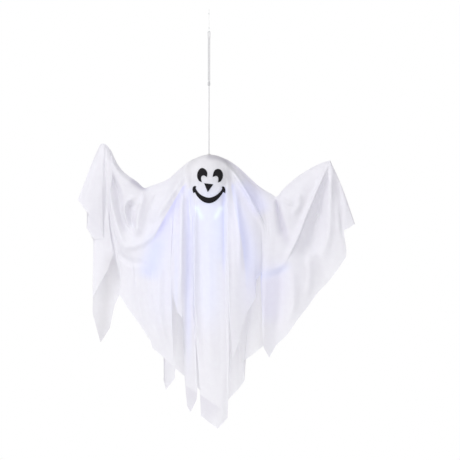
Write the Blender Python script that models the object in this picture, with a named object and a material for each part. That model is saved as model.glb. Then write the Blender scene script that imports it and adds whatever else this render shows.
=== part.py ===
# A light-up hanging ghost: a thin white sheet over a foam ball and a bent wire, hung on a cord, with a lamp
# unit and its battery case under the head. Metres, +Z up. The origin is where the ghost hangs. It faces -Y.

import math

import bmesh
import bpy
from mathutils import Matrix, Vector
from mathutils.bvhtree import BVHTree

mm = 0.001

# Driving dimensions
wing_span = 500.0 * mm  # from the left corner of the sheet to the right one
cloth_drop = 495.0 * mm  # from the crown to the lowest tip of the sheet
fold_depth = 100.0 * mm  # what the depths in the tables of folds are shares of
head_radius = 43.5 * mm
cord_diameter = 1.7 * mm
thread_length = 36.0 * mm  # from the hang point to the top of the cord's loop
loop_length = 90.0 * mm  # from there to the knot
knot_height = 10.4 * mm
cord_drop = 122.6 * mm  # from the knot to the crown

# Clearances
fit_gap = 0.3 * mm  # between pieces that touch on the real ghost
run_gap = 0.45 * mm  # round pieces that turn or slide
overrun = 2.0 * mm  # how far a cutter passes the face that it cuts
merge_gap = 0.001 * mm  # points of one shape that are nearer than this are one point

# The photograph, in pixels: the cord's line, the crown, the sheet's width and drop and the head's radius.
# The tables of folds are read in these pixels
axis_pixel_count = 209.0
crown_pixel_count = 154.5
span_pixel_count = 277.0
drop_pixel_count = 274.3
head_pixel_count = 25.65

# Thread and cord
thread_diameter = 0.5 * mm
thread_eye_radius = 2.6 * mm
thread_knot_radius = 0.9 * mm
thread_knot_height = 2.2 * mm
loop_bend_radius = 1.7 * mm
loop_self_gap = 0.6 * mm
knot_radius = 3.2 * mm
knot_waist_share = 0.84
anchor_knot_radius = 2.6 * mm
anchor_knot_height = 6.0 * mm

# Sheet
cloth_thickness = 0.8 * mm
cloth_seat_gap = 2.0 * mm  # from the ball to the corners of the sheet's facets, whose middles lie closer
ridge_drop = 3.5 * mm  # how far below the ridge the two sides of the sheet have parted
ridge_half_width = 4.5 * mm
side_half_width = 3.6 * mm  # half the width of the fold at each hand's outer edge

# Eyelet at the crown
eyelet_wall = 0.8 * mm
eyelet_flange_radius = 3.6 * mm
eyelet_flange_height = 0.7 * mm
eyelet_barrel_height = 3.4 * mm

# Face, black felt
felt_thickness = 0.9 * mm
felt_grid = 2.5 * mm  # spacing of the cuts that let the felt follow the head
felt_gap = 0.45 * mm  # from the sheet to the corners of the felt's facets

# Ball and the plug in its top
neck_flat_radius = 20.0 * mm
plug_radius = 7.0 * mm
plug_height = 12.0 * mm
plug_flange_radius = 8.5 * mm
plug_flange_height = 1.2 * mm
knot_pocket_height = 10.0 * mm
spigot_radius = 9.0 * mm
spigot_height = 12.0 * mm
spigot_wall = 1.8 * mm
bore_floor_gap = 1.0 * mm

# Collar
collar_half_width = 20.0 * mm
collar_front = 30.0 * mm
collar_back = 34.0 * mm
collar_corner = 10.0 * mm
collar_thickness = 2.0 * mm

# Arm wire
wire_diameter = 2.4 * mm
wire_eye_radius = 3.0 * mm

# Lamp
lamp_forward = 10.0 * mm  # the lamp's centre lies this far in front of the cord's line
holder_radius = 22.0 * mm
holder_height = 6.0 * mm
board_radius = 17.0 * mm
board_thickness = 1.4 * mm
led_radius = 2.5 * mm
led_flange_radius = 2.9 * mm
led_flange_height = 1.0 * mm
led_length = 8.6 * mm
led_spread = 8.5 * mm  # from the lamp's centre to each lamp's foot
led_tilt_deg = 32.0
cone_wall = 1.2 * mm
cone_height = 21.0 * mm
cone_end_radius = 13.5 * mm
cone_end_round = 5.0 * mm

# Battery case
switch_bay = 21.1 * mm  # inside length of the part of the case that holds the switch
case_gap = 2.0 * mm  # from the lamp holder to the case
case_depth = 22.0 * mm
case_height = 18.0 * mm
case_wall = 1.6 * mm
case_corner = 2.5 * mm
lid_thickness = 1.6 * mm
partition_thickness = 1.3 * mm
cell_radius = 5.8 * mm
cell_height = 5.4 * mm
cell_gap = 0.3 * mm
cell_count = 3
contact_thickness = 0.4 * mm
contact_half_width = 4.5 * mm
spring_wire = 0.5 * mm
spring_turns = 3
spring_length = 4.0 * mm
spring_wide_radius = 4.2 * mm
spring_narrow_radius = 2.6 * mm
boss_radius = 2.6 * mm
boss_sink_share = 0.08  # how much of it lies in the partition
screw_radius = 1.0 * mm
screw_head_radius = 1.9 * mm
screw_head_height = 1.1 * mm
screw_length = 9.0 * mm
screw_slot_share = 0.3
door_lift = 12.0 * mm

# Switch
switch_half_length = 4.5 * mm
switch_half_depth = 2.0 * mm
switch_height = 3.8 * mm
switch_wall = 0.5 * mm
switch_travel = 2.5 * mm
knob_half_length = 1.6 * mm
knob_half_depth = 1.1 * mm
knob_proud = 2.2 * mm
knob_foot_half_length = 2.2 * mm
knob_foot_height = 0.8 * mm

# Screws and leads
collar_screw_radius = 1.1 * mm
collar_screw_head_radius = 2.1 * mm
collar_screw_head_height = 1.1 * mm
collar_screw_length = 5.2 * mm
lead_diameter = 1.1 * mm
lead_spacing = 2.6 * mm
lead_bend_radius = 1.35 * mm
lead_reach = 1.4 * mm  # how far a lead passes the case's wall
lead_bore_depth = 5.0 * mm
lead_height = 9.0 * mm  # of its hole in the case, above the case's open side

# Worked out from the sizes above
cord_radius = cord_diameter / 2
loop_top_z = -thread_length
bend_z = loop_top_z - cord_radius - loop_bend_radius
knot_top_z = loop_top_z - loop_length
knot_z = knot_top_z - knot_height / 2
cord_top_z = knot_top_z - knot_height
crown_z = cord_top_z - cord_drop
head_cloth_radius = head_radius + cloth_seat_gap + cloth_thickness
head_z = crown_z - head_cloth_radius
head_top_z = head_z + head_radius
neck_z = head_z - math.sqrt(head_radius**2 - neck_flat_radius**2)
collar_top_z = neck_z - fit_gap
collar_z = collar_top_z - collar_thickness
holder_top_z = collar_z - fit_gap
holder_z = holder_top_z - holder_height
wire_z = collar_z - fit_gap - wire_diameter / 2
case_top_z = collar_z - fit_gap
case_z = case_top_z - case_height
case_front = holder_radius - lamp_forward + case_gap
case_back = case_front + case_depth
case_mid_y = (case_front + case_back) / 2
cell_row = cell_count * cell_height + (cell_count - 1) * cell_gap
cell_bay = fit_gap + contact_thickness + fit_gap + cell_row + cell_gap + spring_length + fit_gap
case_half_width = case_wall + (cell_bay + partition_thickness + switch_bay) / 2
inner_half = case_half_width - case_wall
partition_x = cell_bay - inner_half
boss_x = partition_x + partition_thickness + boss_radius * (1 - boss_sink_share)
door_edge_x = boss_x + boss_radius + fit_gap
switch_x = (door_edge_x + fit_gap + inner_half) / 2
lead_x = (boss_x + switch_x - switch_half_length) / 2

# The ridge of the sheet, from the left hand over the head to the right hand, in the photograph's pixels
ridge_px = [
    (102.7, 144.3), (107.0, 148.0), (110.0, 152.0), (113.3, 156.8), (117.0, 165.0), (121.0, 171.5),
    (126.0, 175.5), (145.0, 188.5), (156.0, 185.6), (167.5, 181.3), (181.0, 169.0), (190.0, 162.4),
    (199.0, 156.6), (204.0, 155.0), (209.0, 154.5), (214.0, 155.0), (219.0, 156.6), (228.0, 161.2),
    (239.0, 167.5), (250.0, 177.5), (263.0, 189.0), (270.5, 193.5), (276.0, 197.4), (285.0, 188.0),
    (295.0, 178.8), (304.0, 171.8), (312.5, 166.3), (323.0, 162.3), (330.3, 160.4),
]
# How far the folds that start on the ball lie from its middle at its widest level, in pixels
head_side_px = [-22.0, -16.0, -9.0, -1.0, 7.0, 14.5, 21.0]
head_ridge_pixel_count = 20.0  # the ridge's points that are nearer than this to the middle lie on the ball

# The folds of the front of the sheet, one for each point of the ridge: pixel, pixel and share of the fold
# depth, from the top of the fold to its point on the ragged hem
front_fold_px = [
    [(90.0, 172.0, 0.00), (78.1, 199.7, -0.01)],
    [(103.0, 185.0, -0.13), (100.0, 228.0, -0.15)],
    [(105.0, 190.0, -0.04), (98.0, 222.0, 0.02), (93.3, 240.0, 0.00)],
    [(107.0, 200.0, 0.00), (97.0, 242.0, 0.01), (92.3, 297.0, -0.02)],
    [(109.0, 205.0, -0.08), (112.0, 232.0, -0.10), (113.8, 252.0, -0.09)],
    [(113.0, 200.0, -0.02), (112.0, 220.0, 0.00), (113.0, 236.0, 0.00)],
    [(116.0, 200.0, -0.12), (121.0, 242.0, -0.13), (126.0, 264.0, -0.11), (118.8, 293.8, -0.07)],
    [(140.0, 225.0, -0.17), (141.0, 275.0, -0.28), (140.0, 322.5, -0.24)],
    [(151.0, 230.0, -0.24), (150.0, 290.0, -0.34), (151.5, 346.0, -0.26)],
    [(161.0, 230.0, -0.31), (160.0, 300.0, -0.36), (165.0, 358.0, -0.28)],
    [(174.0, 215.0, -0.36), (170.0, 285.0, -0.41), (171.0, 330.0, -0.36), (175.0, 368.4, -0.28)],
    [(185.0, 212.0, -0.36), (180.0, 280.0, -0.38), (184.0, 330.0, -0.34), (186.5, 398.0, -0.30)],
    [(191.0, 215.0, -0.35), (189.5, 280.0, -0.29), (190.5, 340.0, -0.30), (190.5, 411.3, -0.30)],
    [(199.5, 215.0, -0.44), (197.0, 280.0, -0.37), (197.5, 340.0, -0.36), (198.0, 391.0, -0.33)],
    [(207.5, 215.0, -0.47), (206.0, 280.0, -0.43), (202.0, 350.0, -0.42), (201.0, 415.5, -0.38)],
    [(216.0, 215.0, -0.45), (216.0, 290.0, -0.47), (216.0, 360.0, -0.46), (217.4, 428.8, -0.42)],
    [(223.5, 215.0, -0.40), (226.0, 290.0, -0.40), (226.5, 350.0, -0.42), (227.3, 417.0, -0.36)],
    [(229.0, 215.0, -0.40), (228.5, 290.0, -0.50), (229.5, 330.0, -0.48), (230.0, 364.0, -0.44)],
    [(241.0, 215.0, -0.38), (241.0, 280.0, -0.40), (240.0, 332.0, -0.36)],
    [(253.0, 225.0, -0.30), (254.0, 265.0, -0.30), (255.6, 297.0, -0.28)],
    [(262.0, 225.0, -0.24), (261.0, 262.0, -0.14), (259.5, 280.0, -0.08)],
    [(268.0, 230.0, -0.25), (264.0, 280.0, -0.20), (262.5, 325.0, -0.18), (268.8, 356.6, -0.18)],
    [(279.0, 240.0, -0.22), (280.0, 290.0, -0.24), (283.0, 341.0, -0.20)],
    [(290.0, 235.0, -0.20), (293.0, 285.0, -0.25), (298.0, 319.0, -0.20)],
    [(303.0, 228.0, -0.13), (309.0, 268.0, -0.20), (312.0, 299.0, -0.16)],
    [(315.0, 220.0, -0.06), (323.0, 256.0, -0.10), (328.0, 280.0, -0.10)],
    [(328.0, 212.0, -0.12), (338.0, 243.0, -0.12), (345.5, 255.5, -0.07)],
    [(338.0, 195.0, -0.05), (343.8, 230.5, -0.03)],
    [(341.0, 183.0, 0.00), (355.0, 224.0, -0.01)],
]
# The folds of the back, in the same way
back_fold_px = [
    [(90.0, 172.0, 0.01), (78.1, 199.7, 0.02)],
    [(93.0, 190.0, 0.08), (86.0, 225.0, 0.05)],
    [(98.0, 205.0, 0.12), (93.2, 239.0, 0.09)],
    [(99.0, 235.0, 0.09), (92.2, 300.0, 0.08)],
    [(104.0, 245.0, 0.13), (100.5, 342.7, 0.12)],
    [(110.0, 245.0, 0.10), (109.0, 321.0, 0.09)],
    [(117.0, 240.0, 0.11), (115.5, 298.0, 0.08)],
    [(143.0, 250.0, 0.22), (141.0, 318.0, 0.20)],
    [(154.0, 260.0, 0.27), (155.0, 346.0, 0.26)],
    [(162.0, 260.0, 0.30), (163.5, 382.0, 0.30)],
    [(171.0, 250.0, 0.36), (167.0, 389.8, 0.32)],
    [(182.0, 220.0, 0.38), (179.0, 300.0, 0.36), (177.0, 373.0, 0.33)],
    [(191.0, 215.0, 0.40), (189.0, 300.0, 0.42), (189.0, 380.0, 0.38)],
    [(200.0, 215.0, 0.45), (201.0, 300.0, 0.40), (200.6, 391.0, 0.36)],
    [(209.0, 215.0, 0.47), (211.0, 300.0, 0.45), (211.0, 399.0, 0.42)],
    [(218.0, 215.0, 0.45), (220.0, 300.0, 0.41), (221.0, 402.0, 0.36)],
    [(225.0, 215.0, 0.41), (229.0, 300.0, 0.43), (230.0, 398.0, 0.40)],
    [(232.0, 215.0, 0.38), (238.0, 300.0, 0.40), (238.5, 389.0, 0.36)],
    [(243.0, 225.0, 0.36), (245.0, 300.0, 0.38), (246.0, 380.5, 0.34)],
    [(252.0, 230.0, 0.31), (248.0, 300.0, 0.32), (244.5, 362.0, 0.30)],
    [(260.0, 240.0, 0.27), (256.0, 300.0, 0.26), (254.0, 353.0, 0.26)],
    [(267.0, 250.0, 0.24), (264.0, 345.0, 0.20)],
    [(279.0, 250.0, 0.24), (282.0, 329.0, 0.20)],
    [(290.0, 240.0, 0.22), (296.0, 308.0, 0.18)],
    [(302.0, 235.0, 0.13), (310.0, 288.0, 0.15)],
    [(313.0, 225.0, 0.10), (323.0, 272.0, 0.12)],
    [(326.0, 212.0, 0.12), (337.0, 252.0, 0.08)],
    [(337.0, 200.0, 0.05), (348.5, 227.5, 0.04)],
    [(341.0, 183.0, 0.01), (355.0, 224.0, 0.02)],
]
# Where the rows of the sheet lie along a fold, below the ridge or below the ball's widest level
wing_row_shares = [0.08, 0.18, 0.29, 0.41, 0.53, 0.65, 0.77, 0.89, 1.0]
head_row_shares = [0.14, 0.30, 0.47, 0.65, 0.83, 1.0]
head_arc_count = 4

# The bent wire, from the eye in the left hand to the eye in the right hand, in pixels
wire_px = [
    (108.2, 152.6), (114.5, 165.2), (122.0, 178.0), (133.0, 188.0), (147.0, 195.6), (166.0, 201.0),
    (187.0, 203.4), (231.0, 203.6), (254.0, 204.0), (269.0, 202.8), (279.5, 198.4), (288.5, 190.0),
    (298.5, 181.4), (313.0, 170.8), (324.8, 165.6),
]

# The felt pieces' outlines, in pixels: the left eye and half of the mouth and nose, which are mirrored
eye_px = [
    (202.4, 167.6), (205.6, 168.6), (207.7, 171.6), (208.0, 175.4), (206.8, 177.6), (205.2, 176.4),
    (203.2, 176.0), (201.4, 177.6), (201.2, 180.2), (201.7, 182.6), (199.2, 181.6), (197.3, 178.8),
    (196.8, 174.8), (197.8, 170.8), (199.8, 168.4),
]
right_px = (0.6, 0.4)  # how far the right eye lies from the left one's mirror image
nose_px = [(203.9, 183.3), (213.9, 183.3), (208.9, 192.3)]
mouth_px = [
    (196.3, 186.2), (197.6, 187.6), (196.6, 189.6), (199.6, 194.0), (204.0, 197.2), (209.0, 198.2),
    (209.0, 203.3), (204.0, 202.6), (199.0, 200.0), (195.6, 196.4), (193.9, 192.6), (192.4, 192.4),
    (192.3, 189.4),
]


def remove_old_objects():
    for old in list(bpy.data.objects):
        bpy.data.objects.remove(old, do_unlink=True)


def painted(name, colour, roughness, metallic=0.0):
    """A Principled material; colour is linear red, green and blue."""
    finish = bpy.data.materials.new(name)
    finish.use_nodes = True
    shader = finish.node_tree.nodes["Principled BSDF"]
    shader.inputs["Base Color"].default_value = (*colour, 1.0)
    shader.inputs["Roughness"].default_value = roughness
    shader.inputs["Metallic"].default_value = metallic
    return finish


def add_object(name, data, finish):
    piece = bpy.data.objects.new(name, data)
    bpy.context.collection.objects.link(piece)
    data.materials.append(finish)
    return piece


def mesh_object(name, shape, finish, smooth=False):
    """An object from a bmesh, its faces turned outwards."""
    bmesh.ops.recalc_face_normals(shape, faces=shape.faces)
    data = bpy.data.meshes.new(name)
    shape.to_mesh(data)
    shape.free()
    if smooth:
        data.shade_smooth()
        data.set_sharp_from_angle(angle=math.radians(35))
    return add_object(name, data, finish)


def turned(name, profile, finish, steps=32, centre=(0.0, 0.0)):
    """A profile of (radius, height) points spun about a vertical line through centre."""
    shape = bmesh.new()
    corners = [shape.verts.new((radius, 0.0, height)) for radius, height in profile]
    closed = all(radius > 0 for radius, _ in profile)
    following = corners[1:] + corners[:1] if closed else corners[1:]
    edges = [shape.edges.new(pair) for pair in zip(corners, following)]
    bmesh.ops.spin(shape, geom=corners + edges, cent=(0, 0, 0), axis=(0, 0, 1), angle=math.tau,
                   steps=steps, use_merge=True, use_duplicate=False)
    bmesh.ops.remove_doubles(shape, verts=shape.verts, dist=merge_gap)
    bmesh.ops.translate(shape, verts=shape.verts, vec=(centre[0], centre[1], 0.0))
    return mesh_object(name, shape, finish, smooth=True)


def prism(name, outline, low, high, finish):
    """A flat outline of (x, y) points drawn up from low to high."""
    shape = bmesh.new()
    base = shape.faces.new([shape.verts.new((x, y, low)) for x, y in outline])
    drawn = bmesh.ops.extrude_face_region(shape, geom=[base])["geom"]
    risen = [item for item in drawn if isinstance(item, bmesh.types.BMVert)]
    bmesh.ops.translate(shape, verts=risen, vec=(0.0, 0.0, high - low))
    return mesh_object(name, shape, finish)


def block(name, low, high, finish):
    corners = [(low[0], low[1]), (high[0], low[1]), (high[0], high[1]), (low[0], high[1])]
    return prism(name, corners, low[2], high[2], finish)


def rounded_outline(left, right, front, back, corner, steps=5):
    """A rectangle with round corners, as (x, y) points."""
    centres = [(right - corner, back - corner), (left + corner, back - corner),
               (left + corner, front + corner), (right - corner, front + corner)]
    points = []
    for quarter, (x, y) in enumerate(centres):
        for step in range(steps + 1):
            angle = (quarter + step / steps) * math.pi / 2
            points.append((x + corner * math.cos(angle), y + corner * math.sin(angle)))
    return points


def change(target, tool, operation):
    """Cut or join target with tool, which stays hidden."""
    tool.hide_render = True
    tool.display_type = "WIRE"
    step = target.modifiers.new(operation.title() + " " + tool.name, "BOOLEAN")
    step.operation = operation
    step.solver = "EXACT"
    step.object = tool


def cut(target, tool):
    change(target, tool, "DIFFERENCE")


def join(target, tool):
    change(target, tool, "UNION")


def smooth_route(points, count):
    """Evenly spaced points on a smooth curve through the given ones."""
    fine = 24
    ends = [2 * points[0] - points[1], *points, 2 * points[-1] - points[-2]]
    curve = []
    for a, b, c, d in zip(ends, ends[1:], ends[2:], ends[3:]):
        for step in range(fine):
            t = step / fine
            curve.append(0.5 * (2 * b + (c - a) * t + (2 * a - 5 * b + 4 * c - d) * t**2
                                + (3 * b - a - 3 * c + d) * t**3))
    curve.append(points[-1])
    return along(curve, [step / (count - 1) for step in range(count)])


def along(curve, shares):
    """The points at the given shares of a polyline's length."""
    reached = [0.0]
    for a, b in zip(curve, curve[1:]):
        reached.append(reached[-1] + (b - a).length)
    found = []
    at = 0
    for share in shares:
        wanted = share * reached[-1]
        while at < len(curve) - 2 and reached[at + 1] < wanted:
            at += 1
        stretch = reached[at + 1] - reached[at]
        found.append(curve[at].lerp(curve[at + 1], min((wanted - reached[at]) / stretch, 1.0)))
    return found


def round_tube(name, points, diameter, finish, resolution=2):
    """A cord or wire: a curve through the points, with a round bevel and filled ends."""
    data = bpy.data.curves.new(name, "CURVE")
    data.dimensions = "3D"
    data.bevel_depth = diameter / 2
    data.bevel_resolution = resolution
    data.use_fill_caps = True
    line = data.splines.new("POLY")
    line.points.add(len(points) - 1)
    for knot, place in zip(line.points, points):
        knot.co = (*place, 1.0)
    return add_object(name, data, finish)


def least_self_gap(points, diameter):
    """The smallest gap between parts of a tube that lie over four diameters apart along it."""
    spacing = (points[1] - points[0]).length
    apart = int(4 * diameter / spacing) + 1
    least = min((a - b).length for i, a in enumerate(points) for b in points[i + apart:])
    return least - diameter


def in_photo(px, py, depth_share=0.0):
    """The place that a pixel of the photograph shows, at a share of the fold depth."""
    x = (px - axis_pixel_count) / span_pixel_count * wing_span
    z = crown_z - (py - crown_pixel_count) / drop_pixel_count * cloth_drop
    return Vector((x, depth_share * fold_depth, z))


remove_old_objects()

white_cloth = painted("white_cloth", (0.86, 0.86, 0.89), 0.85)
white_cord = painted("white_cord", (0.72, 0.72, 0.72), 0.8)
clear_nylon = painted("clear_nylon", (0.8, 0.82, 0.82), 0.3)
black_felt = painted("black_felt", (0.012, 0.012, 0.014), 0.9)
white_foam = painted("white_foam", (0.85, 0.85, 0.83), 0.9)
white_plastic = painted("white_plastic", (0.78, 0.78, 0.78), 0.45)
frosted_plastic = painted("frosted_plastic", (0.7, 0.76, 0.95), 0.5)
lamp_plastic = painted("lamp_plastic", (0.5, 0.65, 1.0), 0.2)
board_green = painted("board_green", (0.03, 0.16, 0.06), 0.5)
black_plastic = painted("black_plastic", (0.03, 0.03, 0.03), 0.45)
bright_steel = painted("bright_steel", (0.6, 0.6, 0.6), 0.3, 1.0)
plated_steel = painted("plated_steel", (0.7, 0.68, 0.62), 0.25, 1.0)
white_wire = painted("white_wire", (0.75, 0.75, 0.75), 0.5)


# Thread: an eye at the hang point, a straight run, and an eye through the bend of the cord's loop
thread_rest_z = bend_z + loop_bend_radius - cord_radius - fit_gap - thread_diameter / 2
low_eye_z = thread_rest_z + thread_eye_radius
eye_shape = [(0.35, -1.22), (0.80, -0.68), (1.0, 0.0), (0.71, 0.71), (0.0, 1.0), (-0.71, 0.71), (-1.0, 0.0),
             (-0.76, -0.72), (-0.30, -1.22), (-0.02, -1.72)]


def thread_eye(centre_z, upwards):
    """A drop-shaped eye in the YZ plane, from its free end to where it meets the run."""
    return [Vector((0.0, thread_eye_radius * y, centre_z + upwards * thread_eye_radius * z))
            for y, z in eye_shape]


knot_reach = 1.45 * thread_eye_radius
high_knot_top_z = -knot_reach
low_knot_foot_z = low_eye_z + knot_reach
thread_nodes = thread_eye(0.0, 1)
run_step_count = 6
for step in range(1, run_step_count):
    run_top_z = thread_nodes[9].z
    run_foot_z = low_eye_z + 1.72 * thread_eye_radius
    thread_nodes.append(Vector((0.0, 0.0, run_top_z + (run_foot_z - run_top_z) * step / run_step_count)))
thread_nodes += reversed(thread_eye(low_eye_z, -1))
thread_route = smooth_route(thread_nodes, 76)
hanging_thread = round_tube("hanging_thread", thread_route, thread_diameter, clear_nylon, 1)


def thread_knot(name, foot_z):
    """A small tied knot round the thread, with the thread's own room left in it."""
    bore = thread_diameter / 2 + fit_gap
    profile = [(bore, foot_z), (thread_knot_radius, foot_z + thread_knot_height / 4),
               (thread_knot_radius, foot_z + 3 * thread_knot_height / 4), (bore, foot_z + thread_knot_height)]
    return turned(name, profile, clear_nylon, 10)


upper_thread_knot = thread_knot("upper_thread_knot", high_knot_top_z - thread_knot_height)
lower_thread_knot = thread_knot("lower_thread_knot", low_knot_foot_z)

# Loop: one cord folded over the thread's lower eye, its two strands side by side down to the knot
strand_x = cord_radius + loop_self_gap / 2
loop_foot_z = knot_top_z + fit_gap
loop_neck = 9 * loop_bend_radius


def loop_points():
    steps = 12
    bend = [Vector((loop_bend_radius * math.cos(math.pi * step / steps), 0.0,
                    bend_z + loop_bend_radius * math.sin(math.pi * step / steps)))
            for step in range(steps + 1)]
    strand_steps = 22
    strand = []
    for step in range(1, strand_steps + 1):
        drop = (bend_z - loop_foot_z) * step / strand_steps
        ease = min(drop / loop_neck, 1.0)
        ease = ease * ease * (3 - 2 * ease)
        strand.append((loop_bend_radius + (strand_x - loop_bend_radius) * ease, bend_z - drop))
    right = [Vector((x, 0.0, z)) for x, z in reversed(strand)]
    left = [Vector((-x, 0.0, z)) for x, z in strand]
    return right + bend + left


loop_route = loop_points()
hanging_loop = round_tube("hanging_loop", loop_route, cord_diameter, white_cord)
print("least gap between the loop's strands, mm:", round(loop_self_gap / mm, 2))


def knot_profile(radius, height, middle_z, half_steps=4):
    """Two soft bulges with a waist between them, as the turns of a tied knot."""
    profile = []
    for step in range(2 * half_steps + 1):
        share = step / half_steps - 1
        belly = math.sqrt(max(1 - share**4, 0.0))
        waist = knot_waist_share + (1 - knot_waist_share) * math.sin(share * math.pi) ** 2
        profile.append((radius * belly * waist, middle_z - share * height / 2))
    return profile


loop_knot = turned("loop_knot", knot_profile(knot_radius, knot_height, knot_z), white_cord, 16)

# Cord: from the knot through the eyelet and the plug in the ball to its own knot in the pocket below the plug
plug_top_z = head_top_z - plug_flange_height
plug_z = head_top_z - plug_height
anchor_z = plug_z - run_gap - anchor_knot_height / 2
cord_foot_z = anchor_z + anchor_knot_height / 2 + fit_gap
cord_head_z = cord_top_z - fit_gap
cord_step_count = 32
cord_route = [Vector((0.0, 0.0, cord_head_z + (cord_foot_z - cord_head_z) * step / cord_step_count))
              for step in range(cord_step_count + 1)]
hanging_cord = round_tube("hanging_cord", cord_route, cord_diameter, white_cord)
anchor_knot = turned("anchor_knot", knot_profile(anchor_knot_radius, anchor_knot_height, anchor_z, 3),
                     white_cord, 12)

# Ball: turned, with a socket in its top for the plug and the knot, a flat and a socket at the neck
plug_socket = plug_radius + fit_gap
flange_socket = plug_flange_radius + fit_gap
pocket_z = plug_z - knot_pocket_height
spigot_socket = spigot_radius + fit_gap
spigot_socket_z = neck_z + spigot_height + bore_floor_gap
ball_top = math.acos(flange_socket / head_radius)
ball_foot = -math.acos(neck_flat_radius / head_radius)
ball_step_count = 14
flange_seat_z = plug_top_z - fit_gap
ball_profile = [(0.0, pocket_z), (plug_socket, pocket_z), (plug_socket, flange_seat_z),
                (flange_socket, flange_seat_z)]
for arc_step in range(ball_step_count + 1):
    level = ball_top + (ball_foot - ball_top) * arc_step / ball_step_count
    ball_profile.append((head_radius * math.cos(level), head_z + head_radius * math.sin(level)))
ball_profile += [(spigot_socket, neck_z), (spigot_socket, spigot_socket_z), (0.0, spigot_socket_z)]
head_ball = turned("head_ball", ball_profile, white_foam, 36)

# Plug: a flanged plug with the cord's hole; its flange is level with the ball's surface
cord_hole = cord_radius + run_gap
flange_rise = head_radius - math.sqrt(head_radius**2 - plug_flange_radius**2)
plug_face_z = head_top_z - flange_rise
plug_profile = [
    (cord_hole, plug_z), (plug_radius, plug_z), (plug_radius, plug_top_z),
    (plug_flange_radius, plug_top_z), (plug_flange_radius, plug_face_z),
    (cord_hole, head_top_z - flange_rise / 3),
]
cord_plug = turned("cord_plug", plug_profile, white_plastic, 24)


# Sheet: a front and a back side that share the ridge, worked out fold by fold and then given their thickness
head_stations = [station for station, (px, _) in enumerate(ridge_px)
                 if abs(px - axis_pixel_count) < head_ridge_pixel_count]


def head_rows(station, side):
    """A fold that starts on the ball: an arc down to the ball's widest level."""
    start_x = (ridge_px[station][0] - axis_pixel_count) / head_pixel_count * head_cloth_radius
    side_x = head_side_px[head_stations.index(station)] / head_pixel_count * head_cloth_radius
    rows = [Vector((start_x, 0.0, head_z + math.sqrt(head_cloth_radius**2 - start_x**2)))]
    for row in range(1, head_arc_count + 1):
        angle = row / head_arc_count * math.pi / 2
        x = start_x + (side_x - start_x) * math.sin(angle)
        slice_radius = math.sqrt(head_cloth_radius**2 - x**2)
        rows.append(Vector((x, side * slice_radius * math.sin(angle),
                            head_z + slice_radius * math.cos(angle))))
    return rows


def wing_rows(station, side, first):
    """A fold that starts on the ridge of an arm: the rounding over the ridge."""
    start = in_photo(*ridge_px[station])
    at_side = station in (0, len(ridge_px) - 1)
    half_width = side_half_width if at_side else ridge_half_width
    lean = (first.x - start.x) * ridge_drop / (start.z - first.z)
    return [start, start + Vector((lean, side * half_width, -ridge_drop))]


def fold_rows(station, side):
    """All the points of one fold of the sheet, from the ridge to the hem."""
    table = front_fold_px if side < 0 else back_fold_px
    controls = [in_photo(*point) for point in table[station]]
    if station in head_stations:
        rows = head_rows(station, side)
        shares = head_row_shares
    else:
        rows = wing_rows(station, side, controls[0])
        shares = wing_row_shares
    at_side = station in (0, len(ridge_px) - 1)
    if at_side:
        for point in controls:
            point.y += side * side_half_width
    path = smooth_route([rows[-1], *controls], 60)
    return rows + along(path, shares)


stations = len(ridge_px)
front_rows = [fold_rows(station, -1) for station in range(stations)]
back_rows = [fold_rows(station, 1) for station in range(stations)]
cloth = bmesh.new()
ridge = [cloth.verts.new(rows[0]) for rows in front_rows]
front = [[top, *[cloth.verts.new(place) for place in rows[1:]]] for top, rows in zip(ridge, front_rows)]
back = [[top, *[cloth.verts.new(place) for place in rows[1:]]] for top, rows in zip(ridge, back_rows)]


def sew(left, right):
    """The faces between two folds, whose tops may be one point."""
    for row in range(len(left) - 1):
        loop = [left[row], left[row + 1], right[row + 1], right[row]]
        if loop[0] is loop[3]:
            loop.pop()
        cloth.faces.new(loop)


for first, second in zip(front, front[1:]):
    sew(first, second)
for first, second in zip(back, back[1:]):
    sew(second, first)
sew(back[0], front[0])
sew(front[-1], back[-1])
bmesh.ops.recalc_face_normals(cloth, faces=cloth.faces)
ghost_cloth = mesh_object("ghost_cloth", cloth, white_cloth, smooth=True)
wall = ghost_cloth.modifiers.new("Sheet thickness", "SOLIDIFY")
wall.thickness = cloth_thickness
wall.offset = -1.0

# The hole in the crown for the eyelet's barrel
barrel_radius = cord_radius + run_gap + eyelet_wall
hole_radius = barrel_radius + fit_gap
crown_cutter = turned("crown_cutter", [(0.0, crown_z + overrun), (hole_radius, crown_z + overrun),
                                       (hole_radius, head_top_z - overrun), (0.0, head_top_z - overrun)],
                      white_cloth, 16)
cut(ghost_cloth, crown_cutter)

# Eyelet: a thin ring on the sheet with a short barrel through it
eyelet_foot_z = crown_z + fit_gap
eyelet_bore = cord_radius + run_gap
barrel_foot_z = eyelet_foot_z - cloth_thickness - fit_gap
eyelet_profile = [
    (eyelet_bore, barrel_foot_z), (barrel_radius, barrel_foot_z), (barrel_radius, eyelet_foot_z),
    (eyelet_flange_radius, eyelet_foot_z),
    (eyelet_flange_radius, eyelet_foot_z + eyelet_flange_height / 2),
    (barrel_radius, eyelet_foot_z + eyelet_flange_height),
    (eyelet_bore, eyelet_foot_z + eyelet_flange_height),
]
crown_eyelet = turned("crown_eyelet", eyelet_profile, white_plastic, 20)


# Face: flat felt outlines laid on the front of the sheet
def sheet_surface():
    bpy.context.view_layer.update()
    evaluated = ghost_cloth.evaluated_get(bpy.context.evaluated_depsgraph_get())
    shell = bmesh.new()
    shell.from_mesh(evaluated.to_mesh())
    tree = BVHTree.FromBMesh(shell)
    shell.free()
    evaluated.to_mesh_clear()
    return tree


surface = sheet_surface()


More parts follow.
